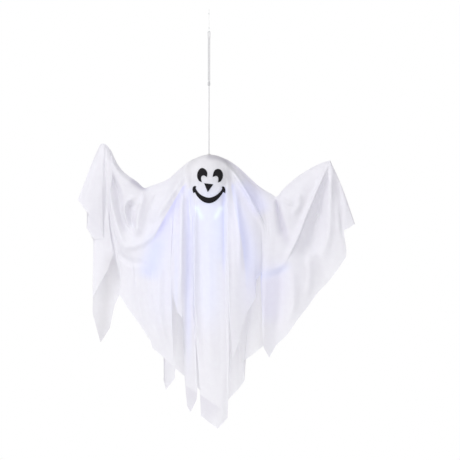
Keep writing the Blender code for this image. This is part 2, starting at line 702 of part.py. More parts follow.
def felt_piece(name, outline_px, finish):
    """An outline cut into small squares, laid on the sheet and given the felt's thickness."""
    outline = [in_photo(px, py) for px, py in outline_px]
    shape = bmesh.new()
    shape.faces.new([shape.verts.new((point.x, 0.0, point.z)) for point in outline])
    for axis in (0, 2):
        low = min(point[axis] for point in outline)
        high = max(point[axis] for point in outline)
        cuts = max(int((high - low) / felt_grid), 1)
        normal = Vector((axis == 0, 0.0, axis == 2))
        for step in range(1, cuts + 1):
            place = normal * (low + (high - low) * step / (cuts + 1))
            bmesh.ops.bisect_plane(shape, geom=shape.verts[:] + shape.edges[:] + shape.faces[:],
                                   plane_co=place, plane_no=normal)
    bmesh.ops.triangulate(shape, faces=shape.faces)
    bmesh.ops.remove_doubles(shape, verts=shape.verts, dist=20 * merge_gap)
    drawn = bmesh.ops.extrude_face_region(shape, geom=shape.faces[:])["geom"]
    outer = {item for item in drawn if isinstance(item, bmesh.types.BMVert)}
    far = Vector((0.0, -fold_depth, 0.0))
    for corner in shape.verts:
        hit = surface.ray_cast(Vector((corner.co.x, far.y, corner.co.z)), Vector((0.0, 1.0, 0.0)))
        seat_y = hit[0].y - felt_gap
        corner.co.y = seat_y - felt_thickness if corner in outer else seat_y
    return mesh_object(name, shape, finish)


def mirrored(outline_px):
    return [(2 * axis_pixel_count - px, py) for px, py in reversed(outline_px)]


left_eye = felt_piece("left_eye", eye_px, black_felt)
right_eye_px = [(px + right_px[0], py + right_px[1]) for px, py in mirrored(eye_px)]
right_eye = felt_piece("right_eye", right_eye_px, black_felt)
nose = felt_piece("nose", nose_px, black_felt)
mouth_half = len(mouth_px) // 2
mouth_top_px = mouth_px[: mouth_half]
mouth_low_px = mouth_px[mouth_half:]
mouth_outline = (mouth_top_px + mirrored(mouth_top_px)[1:]
                 + mirrored(mouth_low_px)[:-1] + mouth_low_px)
mouth = felt_piece("mouth", mouth_outline, black_felt)

# Collar: a flat plate under the ball with a hollow spigot up into it
collar_outline = rounded_outline(-collar_half_width, collar_half_width, -collar_front, collar_back,
                                 collar_corner)
neck_collar = prism("neck_collar", collar_outline, collar_z, collar_top_z, white_plastic)
spigot_top_z = neck_z + spigot_height
spigot_foot_z = collar_z + collar_thickness / 2
spigot = turned("spigot", [(0.0, spigot_foot_z), (spigot_radius, spigot_foot_z),
                           (spigot_radius, spigot_top_z), (0.0, spigot_top_z)], white_plastic, 24)
spigot_bore_radius = spigot_radius - spigot_wall
spigot_bore = turned("spigot_bore", [(0.0, collar_z - overrun), (spigot_bore_radius, collar_z - overrun),
                                     (spigot_bore_radius, spigot_top_z - spigot_wall),
                                     (0.0, spigot_top_z - spigot_wall)], white_plastic, 24)
join(neck_collar, spigot)
cut(neck_collar, spigot_bore)

# Arm wire: one bent wire with a small open eye at each end
def wire_eye(end, before, turn):
    """Most of a turn that leaves the wire's end on a smooth line; turn is +1 or -1 about Y."""
    ahead = (end - before).normalized()
    across = Vector((ahead.z, 0.0, -ahead.x)) * turn
    centre = end + across * wire_eye_radius
    points = []
    steps = 14
    for step in range(1, steps + 1):
        angle = 1.6 * math.pi * step / steps
        points.append(centre - across * wire_eye_radius * math.cos(angle)
                      + ahead * wire_eye_radius * math.sin(angle))
    return points


straight = [Vector((x, 0.0, wire_z)) for x in (-holder_radius - overrun, -holder_radius * 0.8, 0.0,
                                               holder_radius * 0.8, holder_radius + overrun)]
bends = [in_photo(px, py) for px, py in wire_px]
wire_nodes = [bend for bend in bends if bend.x < 0] + straight + [bend for bend in bends if bend.x > 0]
wire_run = smooth_route(wire_nodes, 56)
left_turn = wire_eye(wire_run[0], wire_run[1], -1)
right_turn = wire_eye(wire_run[-1], wire_run[-2], 1)
wire_route = list(reversed(left_turn)) + wire_run + right_turn
arm_wire = round_tube("arm_wire", wire_route, wire_diameter, white_wire)

# Lamp holder: a round block under the collar, with a channel over it for the wire and a seat for the board
lamp_centre = (0.0, -lamp_forward)
rim_height = board_thickness + fit_gap
board_seat = board_radius + fit_gap
holder_profile = [
    (0.0, holder_top_z), (holder_radius, holder_top_z), (holder_radius, holder_z), (board_seat, holder_z),
    (board_seat, holder_z + rim_height), (0.0, holder_z + rim_height),
]
lamp_holder = turned("lamp_holder", holder_profile, white_plastic, 36, lamp_centre)
channel_half = wire_diameter / 2 + fit_gap
channel_z = wire_z - wire_diameter / 2 - fit_gap
channel = block("wire_channel", (-holder_radius - overrun, -channel_half, channel_z),
                (holder_radius + overrun, channel_half, holder_top_z + overrun), white_plastic)
cut(lamp_holder, channel)
board_z = holder_z
board_top_z = board_z + board_thickness
lamp_board = turned("lamp_board", [(0.0, board_z), (board_radius, board_z), (board_radius, board_top_z),
                                   (0.0, board_top_z)], board_green, 28, lamp_centre)


def lamp(name, side):
    """A round-ended lamp whose foot is by the board, leaning outwards."""
    dome_z = led_flange_height + led_length - led_radius
    profile = [(0.0, 0.0), (led_flange_radius, 0.0), (led_flange_radius, led_flange_height),
               (led_radius, led_flange_height)]
    for step in range(5):
        angle = step / 4 * math.pi / 2
        profile.append((led_radius * math.cos(angle), dome_z + led_radius * math.sin(angle)))
    profile[-1] = (0.0, profile[-1][1])
    piece = turned(name, profile, lamp_plastic, 16)
    tilt = math.radians(led_tilt_deg)
    clear = led_flange_radius * math.sin(tilt) + fit_gap
    turn = Matrix.Rotation(math.pi - side * tilt, 4, "Y")
    place = Matrix.Translation((side * led_spread, -lamp_forward, board_z - clear))
    piece.data.transform(place @ turn)
    return piece


left_led = lamp("left_led", -1)
right_led = lamp("right_led", 1)

# Diffuser: a frosted cone with a round end, open at the top
cone_top_z = holder_z - fit_gap
cone_z = cone_top_z - cone_height


def cone_profile(inset):
    """The cone's outside, or its inside a wall further in, from the rim to the middle of its end."""
    end_round = cone_end_round - inset
    slope = (holder_radius - cone_end_radius) / (cone_height - cone_end_round)
    profile = [(holder_radius - inset, cone_top_z)]
    middle = (cone_end_radius - cone_end_round, cone_z + cone_end_round)
    lean = math.atan(slope)
    for step in range(6):
        angle = lean - (lean + math.pi / 2) * step / 5
        profile.append((middle[0] + end_round * math.cos(angle), middle[1] + end_round * math.sin(angle)))
    profile.append((0.0, cone_z + inset))
    return profile


lamp_diffuser = turned("lamp_diffuser", list(reversed(cone_profile(0.0))) + cone_profile(cone_wall),
                       frosted_plastic, 36, lamp_centre)

# Battery case: a box open downwards, with a boss for the door's screw
case_outline = rounded_outline(-case_half_width, case_half_width, case_front, case_back,
                               case_corner, 3)
battery_case = prism("battery_case", case_outline, case_z, case_top_z, white_plastic)
inner_corner = case_corner - case_wall
roof_z = case_top_z - case_wall
inside_outline = rounded_outline(-case_half_width + case_wall, case_half_width - case_wall,
                                 case_front + case_wall, case_back - case_wall, inner_corner, 2)
case_inside = prism("case_inside", inside_outline, case_z - overrun, roof_z, white_plastic)
cut(battery_case, case_inside)
lid_top_z = case_z + lid_thickness
contact_x = -inner_half + fit_gap
row_start = contact_x + contact_thickness + fit_gap
row_end = row_start + cell_row
spring_foot_x = row_end + cell_gap
boss_z = lid_top_z + fit_gap
boss_root_z = roof_z + case_wall / 2
boss = turned("screw_boss", [(0.0, boss_root_z), (boss_radius, boss_root_z), (boss_radius, boss_z),
                             (0.0, boss_z)], white_plastic, 20, (boss_x, case_mid_y))
screw_top_z = case_z + screw_head_height + screw_length
shank_bore = screw_radius + fit_gap
boss_bore = turned("boss_bore", [(0.0, screw_top_z + fit_gap), (shank_bore, screw_top_z + fit_gap),
                                 (shank_bore, boss_z - overrun), (0.0, boss_z - overrun)],
                   white_plastic, 16, (boss_x, case_mid_y))
partition = block("partition", (partition_x, case_front + case_wall / 2, boss_z),
                  (partition_x + partition_thickness, case_back - case_wall / 2, boss_root_z),
                  white_plastic)
join(battery_case, partition)
join(battery_case, boss)
cut(battery_case, boss_bore)

# Door and cover: flush plates in the case's open side, a gap apart
lid_front = case_front + case_wall + fit_gap
lid_back = case_back - case_wall - fit_gap
lid_side = inner_half - fit_gap
battery_door = block("battery_door", (-lid_side, lid_front, case_z), (door_edge_x, lid_back, lid_top_z),
                     white_plastic)
head_bore = screw_head_radius + fit_gap
head_seat_z = case_z + screw_head_height + fit_gap
door_hole = turned("door_hole", [(0.0, case_z - overrun), (head_bore, case_z - overrun),
                                 (head_bore, head_seat_z), (shank_bore, head_seat_z),
                                 (shank_bore, lid_top_z + overrun), (0.0, lid_top_z + overrun)],
                   white_plastic, 20, (boss_x, case_mid_y))
cut(battery_door, door_hole)
finger_x = -lid_side / 2
finger_half = 2 * lid_thickness
finger_notch = block("finger_notch", (finger_x - finger_half, lid_back - lid_thickness, case_z - overrun),
                     (finger_x + finger_half, lid_back + overrun, case_z + lid_thickness / 2),
                     white_plastic)
cut(battery_door, finger_notch)
case_cover = block("case_cover", (door_edge_x + fit_gap, lid_front, case_z), (lid_side, lid_back, lid_top_z),
                   white_plastic)

# Door screw: a slotted head level with the door, its shank up into the boss
door_screw = turned("door_screw", [(0.0, case_z), (screw_head_radius, case_z),
                                   (screw_head_radius, case_z + screw_head_height),
                                   (screw_radius, case_z + screw_head_height), (screw_radius, screw_top_z),
                                   (0.0, screw_top_z)], bright_steel, 20, (boss_x, case_mid_y))
slot_half = screw_head_radius * screw_slot_share / 2
slot_depth = screw_head_height / 2
screw_slot = block("screw_slot", (boss_x - head_bore, case_mid_y - slot_half, case_z - overrun),
                   (boss_x + head_bore, case_mid_y + slot_half, case_z + slot_depth), bright_steel)
cut(door_screw, screw_slot)

# Cells, in a row along X, between a flat contact and a conical spring
cell_z = lid_top_z + fit_gap + cell_radius


def disc_along_x(name, radius, start_x, length, finish, steps):
    shape = bmesh.new()
    turn = Matrix.Rotation(math.pi / 2, 4, "Y")
    place = Matrix.Translation((start_x + length / 2, case_mid_y, cell_z))
    bmesh.ops.create_cone(shape, cap_ends=True, cap_tris=False, segments=steps, radius1=radius,
                          radius2=radius, depth=length, matrix=place @ turn)
    return mesh_object(name, shape, finish, smooth=True)


button_cells = [disc_along_x("button_cell_" + str(cell + 1), cell_radius,
                             row_start + cell * (cell_height + cell_gap), cell_height, bright_steel, 24)
                for cell in range(cell_count)]
contact_top_z = roof_z - fit_gap
contact_plate = block("contact_plate", (contact_x, case_mid_y - contact_half_width, lid_top_z + fit_gap),
                      (contact_x + contact_thickness, case_mid_y + contact_half_width, contact_top_z),
                      plated_steel)


def spring_route():
    """A conical coil along X from the last cell towards the boss."""
    per_turn = 9
    points = []
    steps = spring_turns * per_turn
    start_x = spring_foot_x + spring_wire / 2
    length = spring_length - spring_wire
    for step in range(steps + 1):
        share = step / steps
        radius = spring_narrow_radius + (spring_wide_radius - spring_narrow_radius) * share
        angle = math.tau * spring_turns * share
        points.append(Vector((start_x + length * share, case_mid_y + radius * math.cos(angle),
                              cell_z + radius * math.sin(angle))))
    return points


coil = spring_route()
contact_spring = round_tube("contact_spring", coil, spring_wire, plated_steel, 1)
print("least gap between the spring's turns, mm:", round(least_self_gap(coil, spring_wire) / mm, 2))

# Switch: a small metal body on the cover with a sliding knob that passes the cover's slot
switch_front = case_mid_y - switch_half_depth
switch_back = case_mid_y + switch_half_depth
switch_floor_z = lid_top_z + fit_gap
switch_body = block("switch_body", (switch_x - switch_half_length, switch_front, switch_floor_z),
                    (switch_x + switch_half_length, switch_back, switch_floor_z + switch_height),
                    plated_steel)
knob_rest_x = switch_x - switch_travel / 2
slot_left = knob_rest_x - knob_half_length - run_gap
slot_right = knob_rest_x + switch_travel + knob_half_length + run_gap
foot_z = switch_floor_z + switch_wall + run_gap
pocket_left = knob_rest_x - knob_foot_half_length - run_gap
pocket_right = knob_rest_x + switch_travel + knob_foot_half_length + run_gap
foot_pocket = block("foot_pocket", (pocket_left, case_mid_y - knob_half_depth - run_gap,
                                    switch_floor_z + switch_wall),
                    (pocket_right, case_mid_y + knob_half_depth + run_gap,
                     foot_z + knob_foot_height + run_gap), plated_steel)
body_slot = block("body_slot", (slot_left, case_mid_y - knob_half_depth - run_gap, switch_floor_z - overrun),
                  (slot_right, case_mid_y + knob_half_depth + run_gap, foot_z), plated_steel)
cut(switch_body, foot_pocket)
cut(switch_body, body_slot)
cover_slot = block("cover_slot", (slot_left, case_mid_y - knob_half_depth - run_gap, case_z - overrun),
                   (slot_right, case_mid_y + knob_half_depth + run_gap, lid_top_z + overrun),
                   white_plastic)
cut(case_cover, cover_slot)
knob_foot_z = case_z - knob_proud
knob_front = case_mid_y - knob_half_depth
knob_back = case_mid_y + knob_half_depth
switch_knob = block("switch_knob", (knob_rest_x - knob_half_length, knob_front, knob_foot_z),
                    (knob_rest_x + knob_half_length, knob_back, foot_z + knob_foot_height / 2),
                    black_plastic)
knob_foot = block("knob_foot", (knob_rest_x - knob_foot_half_length, knob_front, foot_z),
                  (knob_rest_x + knob_foot_half_length, knob_back, foot_z + knob_foot_height),
                  black_plastic)
join(switch_knob, knob_foot)

# Collar screws: two into the lamp holder and two into the roof of the case, put in from above
holder_screw_share = 0.65
holder_screws = [(side * collar_half_width * holder_screw_share, -lamp_forward - holder_radius * 0.55)
                 for side in (-1, 1)]
case_screws = [(side * collar_half_width * 0.7, case_mid_y + case_depth * 0.14) for side in (-1, 1)]
case_screw_length = collar_thickness + 2 * fit_gap + case_wall


def collar_screw(name, place, length):
    head_z = collar_top_z + fit_gap
    low_head_z = head_z + collar_screw_head_height / 2
    profile = [(0.0, head_z + collar_screw_head_height),
               (collar_screw_head_radius * 0.6, head_z + collar_screw_head_height),
               (collar_screw_head_radius, low_head_z), (collar_screw_head_radius, head_z),
               (collar_screw_radius, head_z), (collar_screw_radius, head_z - length),
               (0.0, head_z - length)]
    return turned(name, profile, bright_steel, 14, place)


def screw_hole(name, place, length, *targets):
    radius = collar_screw_radius + fit_gap
    top_z = collar_top_z + overrun
    foot_z = collar_top_z - length - fit_gap
    hole = turned(name, [(0.0, top_z), (radius, top_z), (radius, foot_z), (0.0, foot_z)],
                  white_plastic, 14, place)
    for target in targets:
        cut(target, hole)


collar_screws = []
for number, place in enumerate(holder_screws):
    collar_screws.append(collar_screw("collar_screw_" + str(number + 1), place, collar_screw_length))
    screw_hole("holder_screw_hole_" + str(number + 1), place, collar_screw_length, neck_collar,
               lamp_holder)
for number, place in enumerate(case_screws):
    collar_screws.append(collar_screw("collar_screw_" + str(number + 3), place, case_screw_length))
    screw_hole("case_screw_hole_" + str(number + 1), place, case_screw_length + overrun, neck_collar,
               battery_case)


# Leads: two thin wires out of the front of the case, up, and into the back of the lamp holder
def lead_route(x, low_z, high_z, start_y, run_y, end_y):
    """Out along -Y, up, and on along -Y, with two round bends."""
    points = [Vector((x, start_y, low_z)), Vector((x, run_y + lead_bend_radius, low_z))]
    for step in range(1, 7):
        angle = step / 6 * math.pi / 2
        points.append(Vector((x, run_y + lead_bend_radius * (1 - math.sin(angle)),
                              low_z + lead_bend_radius * (1 - math.cos(angle)))))
    for step in range(7):
        angle = step / 6 * math.pi / 2
        points.append(Vector((x, run_y - lead_bend_radius * (1 - math.cos(angle)),
                              high_z - lead_bend_radius * (1 - math.sin(angle)))))
    points.append(Vector((x, end_y, high_z)))
    return points


def lead_bore(name, x, z, start_y, end_y, target):
    radius = lead_diameter / 2 + fit_gap
    shape = bmesh.new()
    turn = Matrix.Rotation(math.pi / 2, 4, "X")
    place = Matrix.Translation((x, (start_y + end_y) / 2, z))
    bmesh.ops.create_cone(shape, cap_ends=True, cap_tris=False, segments=12, radius1=radius,
                          radius2=radius, depth=abs(end_y - start_y), matrix=place @ turn)
    cut(target, mesh_object(name, shape, white_plastic))


lead_low_z = case_z + lead_height
lead_high_z = (holder_top_z + holder_z + rim_height) / 2
lead_wires = []
for number, side in enumerate((-1, 1)):
    x = lead_x + side * lead_spacing / 2
    holder_edge_y = -lamp_forward + math.sqrt(holder_radius**2 - x**2)
    run_y = (case_front + holder_edge_y) / 2
    bore_end_y = holder_edge_y - lead_bore_depth
    route = lead_route(x, lead_low_z, lead_high_z, case_front + case_wall + lead_reach, run_y,
                       bore_end_y + fit_gap)
    lead_wires.append(round_tube("lead_wire_" + str(number + 1), route, lead_diameter, white_wire, 1))
    lead_bore("case_lead_hole_" + str(number + 1), x, lead_low_z, case_front - overrun,
              case_front + case_wall + overrun, battery_case)
    lead_bore("holder_lead_hole_" + str(number + 1), x, lead_high_z, holder_edge_y + overrun,
              bore_end_y, lamp_holder)

# Joints: the empties that carry what each of them moves
def joint_empty(name, place):
    empty = bpy.data.objects.new(name, None)
    empty.empty_display_size = knot_height
    empty.location = place
    bpy.context.collection.objects.link(empty)
    return empty


def hang_on(carrier, *pieces):
    bpy.context.view_layer.update()
    for piece in pieces:
        piece.parent = carrier
        piece.matrix_parent_inverse = carrier.matrix_world.inverted()


side_swing = joint_empty("side_swing", (0.0, 0.0, bend_z))
front_swing = joint_empty("front_swing", (0.0, 0.0, knot_z))
twirl = joint_empty("twirl", (0.0, 0.0, crown_z))
door_slide = joint_empty("door_slide", (boss_x, case_mid_y, case_z))
knob_slide = joint_empty("knob_slide", (knob_rest_x, case_mid_y, case_z))
hang_on(door_slide, battery_door, door_screw)
hang_on(knob_slide, switch_knob)
hang_on(twirl, crown_eyelet, ghost_cloth, left_eye, right_eye, nose, mouth, head_ball, cord_plug,
        neck_collar, arm_wire, lamp_holder, lamp_board, left_led, right_led, lamp_diffuser, battery_case,
        case_cover, *button_cells, contact_plate, contact_spring, switch_body, *collar_screws,
        *lead_wires, door_slide, knob_slide)
hang_on(front_swing, loop_knot, hanging_cord, anchor_knot, twirl)
hang_on(side_swing, hanging_loop, front_swing)
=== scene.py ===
import math

import bmesh
import bpy
import numpy as np
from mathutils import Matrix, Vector
from mathutils.bvhtree import BVHTree


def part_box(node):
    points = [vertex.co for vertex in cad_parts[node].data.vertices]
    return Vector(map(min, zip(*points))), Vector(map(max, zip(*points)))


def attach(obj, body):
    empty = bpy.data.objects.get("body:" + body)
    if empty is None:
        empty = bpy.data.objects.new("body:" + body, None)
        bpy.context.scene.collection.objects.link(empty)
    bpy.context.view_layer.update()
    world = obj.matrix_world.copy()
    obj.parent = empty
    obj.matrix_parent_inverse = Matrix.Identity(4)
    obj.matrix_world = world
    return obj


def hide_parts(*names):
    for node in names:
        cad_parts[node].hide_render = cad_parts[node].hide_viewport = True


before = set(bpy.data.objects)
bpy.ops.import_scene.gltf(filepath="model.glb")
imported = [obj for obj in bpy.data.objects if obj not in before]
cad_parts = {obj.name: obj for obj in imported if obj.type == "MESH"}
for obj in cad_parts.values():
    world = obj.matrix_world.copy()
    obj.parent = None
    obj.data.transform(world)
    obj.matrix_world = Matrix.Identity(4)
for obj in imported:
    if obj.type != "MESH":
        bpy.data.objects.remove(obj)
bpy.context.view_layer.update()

mm = 0.001

# Hanging thread: clear nylon monofilament, half a millimetre thick, tied in an eye at the hook and in another
# round the bend of the cord. Drawn nylon is smooth and glassy, so it shows as little more than a bright line.
thread_diameter = 0.5 * mm
thread_eye = 2.6 * mm
thread_foot = -38.25 * mm


def linear(colour):
    """Linear red, green, blue and alpha of an sRGB hex colour."""
    parts = [int(colour[i:i + 2], 16) / 255 for i in (0, 2, 4)]
    return (*[c / 12.92 if c <= 0.04045 else ((c + 0.055) / 1.055) ** 2.4 for c in parts], 1.0)


def shader_socket(finish, name):
    """The input of a material's Principled shader that a keyword such as base_color names."""
    words = name.replace("_", " ").title().replace("Ior", "IOR")
    return finish.node_tree.nodes["Principled BSDF"].inputs[words]


def new_finish(name, **settings):
    """A material, with even values for the shader inputs that the keywords name."""
    finish = bpy.data.materials.new(name)
    finish.use_nodes = True
    for socket, value in settings.items():
        shader_socket(finish, socket).default_value = value
    return finish


def smooth_route(points, count, steps=24):
    """Evenly spaced points on a smooth curve through the given ones, which may lie unevenly far apart."""
    ends = [2 * points[0] - points[1], *points, 2 * points[-1] - points[-2]]
    curve = []
    for a, b, c, d in zip(ends, ends[1:], ends[2:], ends[3:]):
        before, across, after = (b - a).length, (c - b).length, (d - c).length
        leave = ((b - a) / before * across + (c - b) / across * before) / (before + across) * across
        reach = ((c - b) / across * after + (d - c) / after * across) / (across + after) * across
        for step in range(steps):
            t = step / steps
            curve.append((1 + 2 * t) * (1 - t)**2 * b + t * (1 - t)**2 * leave
                         + t * t * (3 - 2 * t) * c + t * t * (t - 1) * reach)
    curve.append(points[-1])
    reached = np.concatenate([[0.0], np.cumsum([(b - a).length for a, b in zip(curve, curve[1:])])])
    wanted = np.linspace(0, reached[-1], count)
    rows = [np.interp(wanted, reached, [point[axis] for point in curve]) for axis in range(3)]
    return [Vector(place) for place in np.stack(rows, 1)]


def new_object(name, data):
    """An object in the scene."""
    made = bpy.data.objects.new(name, data)
    bpy.context.scene.collection.objects.link(made)
    return made


def tube(name, points, diameter, finish, resolution=5):
    """A cord or wire along the points, as a curve with a round bevel and filled ends."""
    data = bpy.data.curves.new(name, "CURVE")
    data.dimensions = "3D"
    data.bevel_depth = diameter / 2
    data.bevel_resolution = resolution
    data.use_fill_caps = True
    line = data.splines.new("POLY")
    line.points.add(len(points) - 1)
    for knot, place in zip(line.points, points):
        knot.co = (*place, 1.0)
    line.use_smooth = True
    data.materials.append(finish)
    return new_object(name, data)


def wrap(radius, turns, top, foot, steps=20):
    """A cord's centreline wound down round the Z axis, with so many steps to the turn."""
    points = []
    for step in range(int(turns * steps) + 1):
        share = step / (turns * steps)
        angle = math.tau * turns * share
        z = top + (foot - top) * share
        points.append(Vector((radius * math.cos(angle), radius * math.sin(angle), z)))
    return points


nylon = new_finish("drawn_clear_nylon", base_color=linear("DDE1E2"), roughness=0.2, ior=1.53, alpha=0.6)
# A drop that hangs point down, in shares of the eye's radius
drop_shape = [(0.35, -1.22), (0.80, -0.68), (1.0, 0.0), (0.71, 0.71), (0.0, 1.0), (-0.71, 0.71), (-1.0, 0.0),
              (-0.76, -0.72), (-0.30, -1.22), (-0.02, -1.72)]
low_eye_z = thread_foot + thread_eye
high_eye = [Vector((0, thread_eye * y, thread_eye * z)) for y, z in drop_shape]
low_eye = [Vector((0, thread_eye * y, low_eye_z - thread_eye * z)) for y, z in drop_shape]
run = [high_eye[-1].lerp(low_eye[-1], step / 6) for step in range(1, 6)]
thread_route = smooth_route(high_eye + run + low_eye[::-1], count=140)[::-1]
thread = tube("clear_thread", thread_route, thread_diameter, nylon, resolution=3)
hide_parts("hanging_thread")
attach(thread, "thread")

for end in ("upper", "lower"):
    low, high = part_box(end + "_thread_knot")
    coil = wrap(radius=0.55 * mm, turns=3.4, top=high.z - 0.3 * mm, foot=low.z + 0.3 * mm)
    tie = tube(end + "_thread_tie", coil, thread_diameter, nylon, resolution=3)
    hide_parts(end + "_thread_knot")
    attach(tie, "thread")

# Cord: white braided polyester, 1.7 mm thick. One length is folded over the thread, knotted under the fold
# and runs on alone through the eyelet to its own knot below the plug in the head.
cord_diameter = 1.7 * mm
cord_radius = cord_diameter / 2
loop_bend = 1.7 * mm
bend_z = -38.55 * mm
knot_top = -126.0 * mm
knot_foot = -136.4 * mm
cord_foot = -273.95 * mm
end_gap = 0.3 * mm
# A wave texture of scale 1 has a wave every 0.31 m
wave_step = 0.31


def add_node(owner, kind, settings=None, links=None):
    """A shader node with its settings; links name the inputs, or number them, that other outputs go to."""
    added = owner.node_tree.nodes.new(kind)
    for name, value in (settings or {}).items():
        if isinstance(name, int) or name in added.inputs:
            added.inputs[name].default_value = value
        else:
            setattr(added, name, value)
    for name, source in (links or {}).items():
        owner.node_tree.links.new(source, added.inputs[name])
    return added


def on_piece(finish):
    """The output for places on the piece itself."""
    return add_node(finish, "ShaderNodeTexCoord").outputs["Object"]


def waves(finish, spacing, direction, place=None):
    """The output of even waves this far apart."""
    return add_node(finish, "ShaderNodeTexWave", {"Scale": wave_step / spacing, "bands_direction": direction},
                    {0: place or on_piece(finish)}).outputs["Fac"]


def blend(finish, factor, first, second):
    """The output that goes from one colour to another, each a hex colour or another node's output."""
    mix = add_node(finish, "ShaderNodeMix", {"data_type": "RGBA"}, {0: factor})
    for socket, colour in ((6, first), (7, second)):
        if isinstance(colour, str):
            mix.inputs[socket].default_value = linear(colour)
        else:
            finish.node_tree.links.new(colour, mix.inputs[socket])
    return mix.outputs[2]


def bump(finish, height, strength, depth, under=None):
    """The output of a relief of this depth, laid over another one where that is given."""
    links = {"Height": height, "Normal": under} if under else {"Height": height}
    return add_node(finish, "ShaderNodeBump", {"Strength": strength, "Distance": depth}, links).outputs[0]


def product(finish, first, second):
    """The output of two outputs multiplied."""
    return add_node(finish, "ShaderNodeMath", {"operation": "MULTIPLY"}, {0: first, 1: second}).outputs[0]


def feed(finish, **sources):
    """Links outputs to the shader inputs that the keywords name."""
    for socket, source in sources.items():
        finish.node_tree.links.new(source, shader_socket(finish, socket))


braid = new_finish("braided_polyester_cord", roughness=0.75, sheen_weight=0.15)
# The braid's plaits cross every 1.1 mm, drawn as two slanting waves; finer ones would not show
slants = [add_node(braid, "ShaderNodeMapping", {"Rotation": (0.0, math.radians(angle), 0.0)},
                   {0: on_piece(braid)}).outputs[0] for angle in (32, -32)]
crossing = [waves(braid, 1.1 * mm, "Z", slant) for slant in slants]
plaits = product(braid, *crossing)
feed(braid, base_color=blend(braid, plaits, "B9B9BC", "E4E4E6"), normal=bump(braid, plaits, 0.6, 0.15 * mm))

# The two strands come together over this length below the bend
narrowing = 9 * loop_bend
strand_x = cord_radius + 0.3 * mm
loop_foot = knot_top + end_gap
strand_steps = 44
strand = []
for step in range(1, strand_steps + 1):
    drop = (bend_z - loop_foot) * step / strand_steps
    ease = min(drop / narrowing, 1.0)
    strand.append((loop_bend + (strand_x - loop_bend) * ease * ease * (3 - 2 * ease), bend_z - drop))
bend = []
for step in range(19):
    angle = math.pi * step / 18
    bend.append(Vector((loop_bend * math.cos(angle), 0.0, bend_z + loop_bend * math.sin(angle))))
loop_route = [Vector((x, 0.0, z)) for x, z in strand[::-1]] + bend + [Vector((-x, 0.0, z)) for x, z in strand]
cord_loop = tube("cord_loop", loop_route, cord_diameter, braid)
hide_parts("hanging_loop")
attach(cord_loop, "loop")

tie_foot = knot_foot + 0.9 * mm
coil = wrap(radius=1.62 * mm, turns=3.6, top=knot_top - 2.4 * mm, foot=knot_foot + 2.1 * mm, steps=24)
tie_points = [Vector((strand_x, 0.0, knot_top - 0.2 * mm)), Vector((strand_x, 0.0, knot_top - 1.4 * mm)),
              *coil[4:-4:3], Vector((0.5 * mm, 0.3 * mm, tie_foot)), Vector((0.0, 0.0, tie_foot))]
loop_tie = tube("cord_tie", smooth_route(tie_points, count=150), cord_diameter, braid)
core_route = [Vector((-strand_x, 0.0, knot_top - end_gap)), Vector((-0.5 * mm, 0.0, knot_top - 3 * mm)),
              Vector((0.0, 0.0, tie_foot))]
core = tube("cord_tie_core", core_route, cord_diameter, braid)
for piece in (loop_tie, core):
    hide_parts("loop_knot")
    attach(piece, "cord")

cord_steps = 40
cord_route = []
for step in range(cord_steps + 1):
    rise = (knot_foot - end_gap - cord_foot) * step / cord_steps
    cord_route.append(Vector((0.0, 0.0, cord_foot + rise)))
cord = tube("cord", cord_route, cord_diameter, braid)
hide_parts("hanging_cord")
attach(cord, "cord")

low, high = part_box("anchor_knot")
coil = wrap(radius=1.45 * mm, turns=2.6, top=high.z - 1.0 * mm, foot=low.z + 1.0 * mm, steps=24)
stop_tie = tube("cord_stop_tie", coil, cord_diameter, braid)
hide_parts("anchor_knot")
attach(stop_tie, "cord")

# Ball, plug, eyelet and collar: the ball is expanded polystyrene, moulded from beads of about 3 mm. The plug
# that holds the cord's knot, the eyelet in the sheet and the collar under the ball are moulded white ABS.
bead_size = 3.0 * mm


def finish_nodes(finish, *names):
    """Gives CAD nodes their finish, in their own material slots."""
    for name in names:
        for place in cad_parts[name].material_slots:
            place.material = finish


def noise(finish, spacing, place=None, **settings):
    """The output of a noise whose spots lie about this far apart; the keywords are the node's own inputs."""
    return add_node(finish, "ShaderNodeTexNoise", {"Scale": 1 / spacing, **settings},
                    {0: place or on_piece(finish)}).outputs["Fac"]


def ranged(owner, value, low, high, start=0.0, end=1.0):
    """The output that runs from low to high while the value runs from start to end."""
    return add_node(owner, "ShaderNodeMapRange", {1: start, 2: end, 3: low, 4: high}, {0: value}).outputs[0]


# Each bead shows as a slightly different white with a fine dull seam round it
foam = new_finish("expanded_polystyrene", roughness=0.82, ior=1.45, subsurface_weight=0.15,
                  subsurface_scale=2.0 * mm)
bead = add_node(foam, "ShaderNodeTexVoronoi", {"Scale": 1 / bead_size}, {"Vector": on_piece(foam)})
seam = add_node(foam, "ShaderNodeTexVoronoi", {"feature": "DISTANCE_TO_EDGE", "Scale": 1 / bead_size},
                {"Vector": on_piece(foam)})
depth = ranged(foam, seam.outputs["Distance"], 0.0, 1.0, end=0.12)
tone = blend(foam, bead.outputs["Color"], "ECECE8", "F6F6F3")
feed(foam, base_color=blend(foam, depth, "D8D8D3", tone), normal=bump(foam, depth, 0.7, 0.25 * mm))
finish_nodes(foam, "head_ball")


def moulded(name, light, dark, grain, roughness):
    """Moulded plastic with the fine spark-eroded texture of its tool and a faint unevenness of tone."""
    finish = new_finish(name, ior=1.5)
    spark = noise(finish, grain)
    feed(finish, base_color=blend(finish, noise(finish, 12 * mm), dark, light),
         roughness=ranged(finish, spark, roughness - 0.08, roughness + 0.08),
         normal=bump(finish, spark, 0.25, 0.05 * mm))
    return finish


white_abs = moulded("moulded_white_abs", "E9E8E4", "DDDCD7", grain=0.5 * mm, roughness=0.42)
finish_nodes(white_abs, "cord_plug", "crown_eyelet", "neck_collar")

